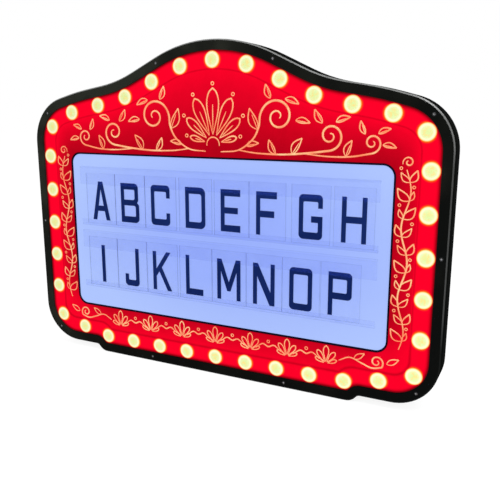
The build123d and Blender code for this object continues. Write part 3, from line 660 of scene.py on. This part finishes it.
def side_drawing():
    """Right-hand stem: it waves up the strip beside the window, with a leaf at every bend."""

    def on_stem(height):
        return np.stack([stem_x + stem_sway * np.sin((height - stem_foot) / 9.5), height], -1)

    yield on_stem(np.linspace(stem_foot, 208, 100)), 0.8, 1.5
    for count, z in enumerate(np.arange(64, 204, 14.9)):
        side = 1 if count % 2 else -1
        yield leaf(on_stem(z), (stem_x + side * 7.6, z + 9.5), 0.24, -0.1 * side), 0.7, 1.2
        yield leaf(on_stem(z), (stem_x - side * 5.5, z + 7.5), 0.2, 0.1 * side), 0.6, 1
        yield berry((stem_x - side * 5.5, z + 11), 1.1), 0.7, 0.8
    yield curl((178.5, 214), 5, 1.2, 200, -1.25, 40), 0.7, 1.3


def foot_drawing():
    """Right half of the row of sprays below the window, with a scroll at the corner."""
    for x in (0, 38, 76, 114):
        for turn, reach in ((90, 15), (55, 12.5), (125, 12.5), (25, 9), (155, 9)):
            way = heading(np.radians(turn))
            root = np.array([x, 31.5]) + 2 * way
            yield leaf(root, root + reach * way, 0.17, belly=1.7), 0.6, 1.1
    for x in (19, 57, 95):
        swag = [(x - 13, 35), (x - 6, 40), (x, 38), (x + 6, 40), (x + 13, 35)]
        yield bend_through(swag), 0.6, 1.4
        yield berry((x, 43), 1.3), 0.8, 0.9
    corner = curl((160, 41.3), 6.6, 1.4, -60, 1.35)
    lead = bend_through([(126, 37), (136, 41.5), (147, 38), (156, 35.2), tuple(corner[2])])
    yield np.vstack([lead, corner[3:]]), 0.8, 1.5
    yield leaf((140, 41), (149, 47), 0.2), 0.6, 1.1
    yield leaf((169, 41), (179, 46.5), 0.2), 0.6, 1.1


def glow(material, factor, stops, strength, base_share):
    """Light in the colours of a ramp, over the same colours dimmed to a share."""
    dim = [(position, *(base_share * part for part in colour)) for position, *colour in stops]
    colour, base = ramp(factor, stops), ramp(factor, dim)
    surface(material, emission_color=colour, emission_strength=strength, base_color=base)
    return colour


drawing = [*crown_drawing(), *side_drawing(), *foot_drawing()]
off_middle = [line for line in drawing if abs(line[0][:, 0].mean()) > 2]
drawing += [(points * (-1, 1), thin, thick) for points, thin, thick in off_middle]
gold_ink = finish("gold_ink", 0.35, 0.2)
gold_stops = [(0.32, 0.95, 0.24, 0.1), (0.5, 0.98, 0.36, 0.17), (0.68, 1, 0.58, 0.28)]
glow(gold_ink, mottle(gold_ink, 55, 3), gold_stops, 0.62, 0.4)
gold_lines = put_mesh("gold_lines", *joined([ink_line(*line) for line in drawing]), gold_ink)

# The lamp lenses. Pale frosted plugs, each pressed into its hole in the red sheet with a low
# crowned front; the light chip behind makes the middle greenish and the rim cream.
lens_radius, lens_crown, lens_rim, lens_foot, plug_depth = 7.6, 0.7, 0.35, 0.12, 1.6
lens_rings, lens_columns = 12, 36


def around(radius, columns):
    """Rings of the given radii about an axis, as the two distances across it."""
    angle = np.linspace(0, 2 * np.pi, columns, endpoint=False)
    return radius[:, None] * np.cos(angle), radius[:, None] * np.sin(angle)


def lens_points():
    """Low dome: height falls as the square of the radius, down to a rounded rim on the sheet,
    and a plain plug behind it."""
    share = np.linspace(0, 1, lens_rings) ** 0.8
    radius = np.append(lens_radius * share, [lens_radius, 0])
    height = np.append(lens_rim + lens_crown * (1 - share**2), [-plug_depth, -plug_depth])
    height[-3] = lens_foot
    x, z = around(radius, lens_columns)
    from_middle = np.append(radius[:-1] / lens_radius, 1)
    return np.stack([x, -height[:, None] + 0 * x, z], -1), np.repeat(from_middle, lens_columns)


def put_many(name, shape, places, material, mark, values, domain="POINT", smooth=True):
    """Copies of a (points, faces) shape as one piece, at places (x, y, z) or (x, y, z, turn about
    Y), each with the same marks."""
    x, y, z = shape[0].reshape(-1, 3).T
    copies = []
    for at_x, at_y, at_z, *turn in places:
        cos, sin = heading(turn[0]) if turn else (1, 0)
        copy = (x * cos - z * sin + at_x, y + at_y, x * sin + z * cos + at_z)
        copies.append((np.stack(copy, 1), shape[1]))
    marks = (mark, domain, np.tile(np.ravel(values), len(places)))
    return put_mesh(name, *joined(copies), material, smooth=smooth, marks=marks)


frosted_lens = finish("frosted_lens", 0.5, 0.05)
lens_radial = mark_of(frosted_lens, "from_middle")
lens_stops = [
    (0, 0.76, 0.87, 0.34), (0.3, 0.77, 0.89, 0.4), (0.58, 0.81, 0.92, 0.48),
    (0.76, 1, 0.97, 0.68), (0.88, 1, 0.86, 0.42), (0.945, 1, 0.52, 0.12),
    (1, 0.95, 0.13, 0.01),
]
lens_glow = calc("ADD", slope(frosted_lens, (0.2, 0, -0.2)), 0.84)
lens_colour = glow(frosted_lens, lens_radial, lens_stops, lens_glow, 0.18)
lens_middle = ramp(lens_radial, [(0.35, 1), (0.75, 0)])
lens_patches = ramp(mottle(frosted_lens, 330, 3), [(0.44, 0), (0.6, 1)])
lens_warm = calc("MULTIPLY", lens_middle, lens_patches)
surface(frosted_lens, emission_color=blend(lens_warm, lens_colour, (0.99, 0.74, 0.24, 1)))
lens_grid, lens_share = lens_points()
lens_shape = lens_grid, ring_faces(*lens_grid.shape[:2])[:, ::-1]
lens_spots = upright(lamps, ink_front)
lenses = put_many("lenses", lens_shape, lens_spots, frosted_lens, "from_middle", lens_share)
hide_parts("lamp_lenses")

# The frame's screws. Small blackened steel heads with a pressed cross recess, sunk in the
# flange; they hold the frame to bosses in the rear case.
screw_inset, head_radius, head_top, head_foot = 5, 1.7, 0.12, 1
screw_stations = ((59.5, 1), (196, 1), (195.5, -1), (73.5, -1), (138, 0))
head_rings, head_columns = 16, 48
recess_half, recess_reach, recess_depth = 0.24, 1, 0.5


def speckled(name, dark, light, scale, roughness, specular=0.4, metallic=0):
    """Material whose colour wanders between two tones."""
    material = finish(name, roughness, specular, metallic)
    surface(material, base_color=two_tones(mottle(material, scale), dark, light))
    return material


def screw_spots():
    """Middles of the ten screws, where their ring crosses five set places of each half."""
    ring = board_ring(screw_inset)
    right = ring[[on_ring(ring, *station) for station in screw_stations]]
    return np.vstack([right, right * (-1, 1)])


def screw_head():
    """Low dome on a disc: rings of points, pressed in where they lie within a cross that tapers."""
    radius = head_radius * np.append(np.linspace(0, 1, head_rings) ** 0.9, [1, 0])
    x, z = around(radius, head_columns)
    depth = head_top + 0.28 * (radius[:, None] / head_radius) ** 2 + 0 * x
    arm, along = np.minimum(abs(x), abs(z)), np.maximum(abs(x), abs(z))
    press = np.clip((recess_half - arm) / 0.1, 0, 1) * np.clip((recess_reach - along) / 0.35, 0, 1)
    depth = depth + recess_depth * press
    depth[-2:] = head_foot
    press[-2:] = 0
    return np.stack([x, depth, z], -1), press


head_points, head_press = screw_head()
head_shape = head_points, ring_faces(*head_points.shape[:2])[:, ::-1]
head_spots = upright(screw_spots(), face_front)
screw_tones = (0.014, 0.014, 0.015), (0.03, 0.03, 0.031)
screw_steel = speckled("screw_steel", *screw_tones, 1800, 0.4, 0.15)
# Painted glint: the cross recess of each head is painted light grey, as where the lamps glint in
# the steel.
recolour(mark_of(screw_steel, "wear_and_glint"), (0.42, 0.42, 0.43))
screw_heads = put_many("screw_heads", head_shape, head_spots, screw_steel, "wear_and_glint", head_press)
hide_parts("bezel_screws")

# The window's wall, the letter panel and the wall behind the lamps. The black wall's front edge
# frames the letter panel, an opal sheet that sits in its rebate and is lit evenly from behind.
window_tones = [(0.3, 0.002, 0.001, 0.006), (0.7, 0.005, 0.003, 0.012)]
dress(grained_plastic("window_black", window_tones, 0.5, 0.01), "window_wall")
dress(black_plastic, "lamp_wall")

opal_plastic = finish("opal_plastic", 0.4, 0.05)
opal_middle, opal_reach, opal_full = (0.025, 0, 0.137), (1 / 0.165, 0, 1 / 0.085), 1.6
opal_stops = [
    (0.1, 0.325, 0.44, 0.97), (0.4, 0.34, 0.46, 0.98), (0.62, 0.385, 0.51, 0.98),
    (0.85, 0.425, 0.56, 1),
]
opal_place = calc("SUBTRACT", place_of(opal_plastic), opal_middle, kind="VectorMath")
opal_scaled = calc("MULTIPLY", opal_place, opal_reach, kind="VectorMath")
opal_away = calc("LENGTH", opal_scaled, kind="VectorMath", output="Value")
opal_sum = calc("MULTIPLY_ADD", mottle(opal_plastic, 14, 3), 0.22, opal_away)
glow(opal_plastic, calc("DIVIDE", opal_sum, opal_full), opal_stops, 0.8, 0.16)
dress(opal_plastic, "letter_panel")


# The rails and the letter cards. Clear plastic: four rails glued on the letter panel hold two
# rows of thin cards, which slide in from the end or are lifted up and tilted out.
def clear_plastic(name, face, face_cover, edge, edge_cover):
    """Thin clear plastic: nearly nothing is seen of its faces, and more of its cut edges."""
    material = finish(name, 0.25, 0.1)
    front = calc("ABSOLUTE", backwards(material))
    cover = ramp(front, [(0.4, edge_cover), (0.7, face_cover)])
    streaks = ramp(mottle(material, 35, 5), [(0.35, 0.6), (0.7, 1)])
    colour = ramp(front, [(0.4, *edge), (0.7, *face)])
    surface(material, base_color=colour, alpha=calc("MULTIPLY", cover, streaks))
    return material


rail_names = [f"{row}_row_{end}_rail" for row in ("upper", "lower") for end in ("top", "bottom")]
clear_rail = clear_plastic("clear_rail", (0.04, 0.09, 0.75), 0.06, (0.1, 0.14, 0.6), 0.17)
dress(clear_rail, *rail_names)
card_names = [f"letter_card_{number:02d}" for number in range(1, 17)]
clear_card = clear_plastic("clear_card", (0.08, 0.12, 0.8), 0.035, (0.04, 0.06, 0.22), 0.7)
dress(clear_card, *card_names)

# The letters. Dark blue print on the front of each card: a narrow upright alphabet with thin
# stems, heavy bars and squared rounds, each letter a flat closed shape.
wide, tall, stem, bar = 22, 39.5, 4.2, 6.3
right, top = wide - stem, tall - bar
round_foot, round_head = [(0, 0, 4), (wide, 0, 4)], [(wide, tall, 4), (0, tall, 4)]
hollow = [(right, bar, 1.2), (stem, bar, 1.2), (stem, top, 1.2), (right, top, 1.2)]
letter_bottom, print_thickness = 4, 0.04
letter_shapes = {
    "A": [
        [(0, 0), (4.9, 0), (6.8, 9.2), (15.2, 9.2), (17.1, 0), (22, 0), (13.8, tall), (8.2, tall)],
        [(7.9, 14.8), (14.1, 14.8), (11, 31.5)],
    ],
    "B": [
        [(0, 0), (wide, 0, 4.5), (wide, 18.4, 3.4), (19.4, 20.2, 1), (21.2, 22.2, 3.4),
         (21.2, tall, 4.5), (0, tall)],
        [(stem, bar), (right, bar, 1.2), (right, 17.2, 2), (stem, 17.2)],
        [(stem, 23), (16.8, 23, 2), (16.8, top, 1.2), (stem, top)],
    ],
    "C": [[*round_foot, (wide, 12.5), (right, 12.5), *hollow, (right, 27), (wide, 27),
           *round_head]],
    "D": [
        [(0, 0), (wide, 0, 5.5), (wide, tall, 5.5), (0, tall)],
        [(stem, bar), (right, bar, 2.4), (right, top, 2.4), (stem, top)],
    ],
    "E": [[(0, 0), (20.5, 0), (20.5, bar), (stem, bar), (stem, 17), (18, 17), (18, 22.8),
           (stem, 22.8), (stem, top), (20.5, top), (20.5, tall), (0, tall)]],
    "F": [[(0, 0), (stem, 0), (stem, 16.2), (18, 16.2), (18, 22.2), (stem, 22.2), (stem, top),
           (20.5, top), (20.5, tall), (0, tall)]],
    "G": [[*round_foot, (wide, 20.6), (11.5, 20.6), (11.5, 15), (right, 15), *hollow,
           (right, 27.6), (wide, 27.6), *round_head]],
    "H": [[(0, 0), (stem, 0), (stem, 17), (right, 17), (right, 0), (wide, 0), (wide, tall),
           (right, tall), (right, 22.8), (stem, 22.8), (stem, tall), (0, tall)]],
    "I": [[(8.8, 0), (13.2, 0), (13.2, tall), (8.8, tall)]],
    "J": [[(2, 0, 4), (19.5, 0, 4), (19.5, tall), (15.1, tall), (15.1, bar, 1.2), (6.4, bar, 1.2),
           (6.4, 12.5), (2, 12.5)]],
    "K": [[(0, 0), (stem, 0), (stem, 14.2), (7.6, 19), (17, 0), (22.2, 0), (10.7, 23.5),
           (21.2, tall), (16, tall), (stem, 21.9), (stem, tall), (0, tall)]],
    "L": [[(0, 0), (19.5, 0), (19.5, bar), (stem, bar), (stem, tall), (0, tall)]],
    "M": [[(-1.5, 0), (2.7, 0), (2.7, 27.5), (9.2, 8.5), (12.8, 8.5), (19.3, 27.5), (19.3, 0),
           (23.5, 0), (23.5, tall), (18.6, tall), (11, 17.5), (3.4, tall), (-1.5, tall)]],
    "N": [[(0, 0), (stem, 0), (stem, 27), (17, 0), (wide, 0), (wide, tall), (right, tall),
           (right, 12.5), (5, tall), (0, tall)]],
    "O": [
        [*round_foot, *round_head],
        [(stem, bar, 1.2), (right, bar, 1.2), (right, top, 1.2), (stem, top, 1.2)],
    ],
    "P": [
        [(0, 0), (stem, 0), (stem, 15), (21.5, 15, 4), (21.5, tall, 4), (0, tall)],
        [(stem, 21), (16.9, 21, 1.2), (16.9, top, 1.2), (stem, top)],
    ],
}


def rounded_loop(corners):
    """Closed line through corners given as (x, z) or (x, z, radius), each radius an arc."""
    spots = np.array([corner[:2] for corner in corners], float)
    run = unit(np.roll(spots, -1, 0) - spots)
    before = np.roll(run, 1, 0)
    angle = np.arccos(np.clip((run * before).sum(1), -1, 1))
    points = []
    for (_, _, *radius), spot, ahead, behind, turn in zip(corners, spots, run, before, angle):
        if not radius:
            points.append(spot[None])
            continue
        reach = radius[0] * np.tan(turn / 2)
        start, end = spot - behind * reach, spot + ahead * reach
        centre = spot + unit(ahead - behind) * radius[0] / np.cos(turn / 2)
        sweep = np.linspace(0, 1, 9)[:, None]
        arm = unit((start - centre) * (1 - sweep) + (end - centre) * sweep)
        points.append(centre + arm * radius[0])
    return np.vstack(points)


def letter_mesh(name, loops, left, front, bottom):
    """Flat letter as a thin closed solid: its loops filled, then given a thickness."""
    shape = bpy.data.curves.new(name, "CURVE")
    shape.dimensions = "2D"
    shape.fill_mode = "BOTH"
    shape.extrude = print_thickness / 2 * mm
    for loop in loops:
        points = rounded_loop(loop) * mm
        spline = shape.splines.new("POLY")
        spline.points.add(len(points) - 1)
        flat = np.column_stack([points, np.zeros(len(points)), np.ones(len(points))])
        spline.points.foreach_set("co", flat.ravel())
        spline.use_cyclic_u = True
    holder = bpy.data.objects.new(name + "_shape", shape)
    mesh = bpy.data.meshes.new_from_object(holder)
    bpy.data.objects.remove(holder)
    bpy.data.curves.remove(shape)
    middle = front - print_thickness / 2
    stand = ((1, 0, 0, left * mm), (0, 0, -1, middle * mm), (0, 1, 0, bottom * mm), (0, 0, 0, 1))
    mesh.transform(Matrix(stand))
    return put_piece(name, mesh, letter_print, False)


letter_tones = [(0.3, 0.0035, 0.011, 0.07), (0.7, 0.007, 0.018, 0.1)]
letter_print = grained_plastic("letter_print", letter_tones, 0.6, 0.004, 900)
for card, (character, loops) in zip(card_names, letter_shapes.items()):
    low, high = (np.array(corner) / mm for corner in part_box(card))
    left = (low[0] + high[0] - wide) / 2
    letter = letter_mesh(f"letter_{character}", loops, left, low[1], low[2] + letter_bottom)
    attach(letter, card)

# What is closed in behind the face: the strip and bars with their light chips, the white sheet
# behind the letter panel, and the control board with its parts.
white_board = speckled("white_board", (0.74, 0.74, 0.71), (0.84, 0.84, 0.82), 60, 0.6)
relief(white_board, 1500, 2, 0.2, 0.05)
dress(white_board, "lamp_strip", "reflector_sheet", "window_light_bars")
dark_resin = speckled("dark_resin", (0.012, 0.012, 0.014), (0.022, 0.022, 0.024), 1500, 0.55)
dress(dark_resin, "control_chip", "remote_receiver", "mode_switch_body")
steel_tones = (0.56, 0.56, 0.55), (0.72, 0.72, 0.7)
bright_steel = speckled("bright_steel", *steel_tones, 500, 0.28, 0.5, 1)
relief(bright_steel, 2200, 3, 0.15, 0.04)
dress(bright_steel, "board_screws", "power_switch_body", "power_socket")

# The light chips: small white packages with a yellow window sunk in the front, soldered to the
# strip behind the lamps and to the bars behind the letter panel.
floor_front = board_depth - 2.2
strip_thickness, bar_thickness = 0.6, 1.4
bar_rows, bar_chips, bar_pitch = (-1, 0, 1), 6, 50


def chip_block(length, width, height, rim):
    """Block with a sunk window: loops of four corners at its back, front, rim and window."""
    corner = square / 2
    outer, inner = corner * (length, width), corner * (length - 2 * rim, width - 2 * rim)
    floor = corner * (length - 2.6 * rim, width - 2.6 * rim)
    loops = [(outer, 0), (outer * 0.96, -height), (inner, -height), (floor, -0.75 * height)]
    faces = np.vstack([ring_faces(len(loops), 4), [(3, 2, 1, 0), (12, 13, 14, 15)]])
    return np.vstack([upright(loop, depth) for loop, depth in loops]), faces


def chip_places_on_ring():
    """Middle and turn of each chip behind a lamp."""
    ring = board_ring(lamp_inset)
    spots = [int(np.argmin(np.linalg.norm(ring - lamp, axis=1))) for lamp in lamps]
    run = np.roll(ring, -1, 0) - np.roll(ring, 1, 0)
    return [(x, z, np.arctan2(run[spot, 1], run[spot, 0])) for (x, z), spot in zip(lamps, spots)]


def set_chips(name, block, places, back, node):
    """One mesh of chips at (x, z, turn) places, with their windows marked for the material."""
    window = np.arange(len(block[1])) == len(block[1]) - 1
    spots = [(x, face_front + back, z, turn) for x, z, turn in places]
    chips = put_many(name, block, spots, light_chip, "window", window, "FACE", smooth=False)
    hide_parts(node)


light_chip = finish("light_chip", 0.35, 0.3)
chip_window = mark_of(light_chip, "window")
chip_grain = mottle(light_chip, 1800, 2)
chip_white = two_tones(chip_grain, (0.74, 0.74, 0.72), (0.84, 0.84, 0.82))
chip_yellow = two_tones(chip_grain, (0.8, 0.62, 0.1), (0.92, 0.76, 0.2))
surface(light_chip, base_color=blend(chip_window, chip_white, chip_yellow))
surface(light_chip, emission_color=chip_yellow, emission_strength=chip_window)
bar_steps = [(step - (bar_chips - 1) / 2) * bar_pitch for step in range(bar_chips)]
bar_spots = [(x, window_middle + row * bar_pitch, 0) for row in bar_rows for x in bar_steps]
lamp_block, window_block = chip_block(3.5, 2.8, 1, 0.45), chip_block(5, 5, 1.4, 0.6)
strip_front, bar_front = floor_front - strip_thickness, floor_front - bar_thickness
set_chips("lamp_chips", lamp_block, chip_places_on_ring(), strip_front, "lamp_leds")
set_chips("window_chips", window_block, bar_spots, bar_front, "window_leds")

# The control board. Green lacquer over copper tracks, with small parts soldered to its front;
# two screws hold it on posts in the rear case.
post_height, board_thickness = 4, 1.2
board_front = floor_front - post_height - board_thickness
part_places = [(103.5, z) for z in (46.2, 43.4, 40.6)]
part_places += [(x, z) for z in (46.5, 37.5) for x in (119.5, 122.5, 125.5)]
part_places += [(141, 45), (141, 39)]


def box(x, half_x, half_z, rise):
    """Box that stands so far to the right of a part's middle."""
    foot = upright(square * (half_x, half_z) + (x, 0), 0)
    sides = [(0, 1, 5, 4), (1, 2, 6, 5), (2, 3, 7, 6), (3, 0, 4, 7), (0, 3, 2, 1), (4, 5, 6, 7)]
    return np.vstack([foot, foot - (0, rise, 0)]), np.array(sides)


tinned_end, dark_body = (0.25, 0.62, 0.5), (0.6, 0.58, 0.45)
resistor = joined([box(-0.8, *tinned_end), box(0, *dark_body), box(0.8, *tinned_end)])
green_board = speckled("green_board", (0.01, 0.085, 0.032), (0.018, 0.12, 0.05), 300, 0.35)
track_turn = {"Rotation": (np.pi / 2, 0, 0), "Vector": place_of(green_board)}
track_lines = {"Scale": 260, "Mortar Size": 0.035, "Brick Width": 1.3, "Row Height": 0.42}
track_lines["Vector"] = add_node(green_board.node_tree, "Mapping", track_turn).outputs["Vector"]
tracks = add_node(green_board.node_tree, "TexBrick", track_lines)
recolour(tracks.outputs["Fac"], (0.05, 0.24, 0.08))
dress(green_board, "control_board")

part_finish = finish("soldered_parts", 0.4)
part_tinned = mark_of(part_finish, "tinned")
part_grain = mottle(part_finish, 2500)
part_dark = two_tones(part_grain, (0.015, 0.015, 0.017), (0.03, 0.03, 0.032))
part_tin = two_tones(part_grain, (0.55, 0.55, 0.53), (0.72, 0.72, 0.7))
part_colour = blend(part_tinned, part_dark, part_tin)
surface(part_finish, base_color=part_colour, metallic=part_tinned)
part_spots = [(x, face_front + board_front, z) for x, z in part_places]
part_marks = ("tinned", np.repeat([1, 0, 1], 6), "FACE", False)
soldered_parts = put_many("soldered_parts", resistor, part_spots, part_finish, *part_marks)

# The battery bay: three cells end to end between sprung plates, under a cover that hooks in
# along its lower edge. Each cell is a lathed steel can in a printed sleeve, bare at its ends.
cell_pitch, cell_middle_z, cell_middle_depth, cell_columns = 50.5, 38.6, 16.15, 48
cell_profile = np.array([
    (0.3, 0, 1), (0.3, 4.4, 1), (0.1, 4.6, 1), (0, 4.9, 0), (0, 6.2, 0), (0.25, 6.8, 0),
    (0.8, 7.15, 0), (1.4, 7.25, 0), (12.9, 7.25, 0), (13.1, 7.25, 0), (47.6, 7.25, 0),
    (48.4, 7.12, 0), (49, 6.6, 0), (49.2, 5.8, 0), (49.2, 3.6, 0), (49.35, 3.4, 1),
    (49.5, 2.75, 1), (50.1, 2.7, 1), (50.4, 2.45, 1), (50.5, 2, 1), (50.5, 0, 1),
])
cell_along, cell_radius, cell_bare = cell_profile.T
cell_depth, cell_up = around(cell_radius, cell_columns)
cell = np.stack([cell_along[:, None] + 0 * cell_up, cell_depth, cell_up], -1)
cell_y = face_front + cell_middle_depth
cell_spots = [((index - 1.5) * cell_pitch, cell_y, cell_middle_z) for index in range(3)]
cell_sleeve = finish("cell_sleeve", 0.28)
cell_shift = calc("ADD", axis_of(place_of(cell_sleeve), "X"), 2.5 * cell_pitch * mm)
cell_share = calc("DIVIDE", calc("MODULO", cell_shift, cell_pitch * mm), cell_pitch * mm)
silver, pale, blue = (0.45, 0.46, 0.47), (0.62, 0.62, 0.6), (0.03, 0.12, 0.19)
sleeve_stops = [(0, *silver), (0.24, *silver), (0.245, *pale), (0.265, *pale)]
sleeve_stops += [(0.27, 0.02, 0.09, 0.15), (0.9, *blue), (0.905, *pale), (0.93, *blue)]
cell_steel = two_tones(mottle(cell_sleeve, 400), (0.55, 0.55, 0.54), (0.7, 0.7, 0.69))
cell_end = mark_of(cell_sleeve, "bare")
cell_colour = blend(cell_end, ramp(cell_share, sleeve_stops), cell_steel)
surface(cell_sleeve, base_color=cell_colour, metallic=cell_end)
cell_shape, bare = (cell, ring_faces(*cell.shape[:2])), np.repeat(cell_bare, cell_columns)
battery_set = put_many("batteries", cell_shape, cell_spots, cell_sleeve, "bare", bare)
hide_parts("battery_cells")
dress(bright_steel, "battery_positive_contact", "battery_negative_contact")

cover_plastic = grained_plastic("cover_plastic", case_tones, 0.4, 0)
add_chamfer_highlights(cover_plastic, 0.1)
arrow = [(0, 35.2 - 0.35 * step, 0.35 * (6 - step), 0.19) for step in range(7)]
printed_marks(cover_plastic, arrow, 0.5)
dress(cover_plastic, "battery_cover")
wire_cover = speckled("wire_cover", (0.3, 0.012, 0.012), (0.38, 0.02, 0.02), 200, 0.5)
dress(wire_cover, "battery_leads", "light_leads")

# The knob of the slide switch and the mode button. Both are grey-black plastic mouldings, and
# stand in openings of the case's back.
knob_tones = [(0.3, 0.03, 0.03, 0.031), (0.7, 0.04, 0.04, 0.041)]
knob_plastic = grained_plastic("knob_plastic", knob_tones, 0.45, 0.4)
dress(knob_plastic, "power_switch_slider", "mode_button")

# The foot pads. Four thin strips of soft rubber, cut from sheet and glued into shallow pockets
# under the foot.
pad_tones = (0.012, 0.012, 0.012), (0.02, 0.02, 0.02)
dress(speckled("pad_rubber", *pad_tones, 1200, 0.85, 0.2), "foot_pads")
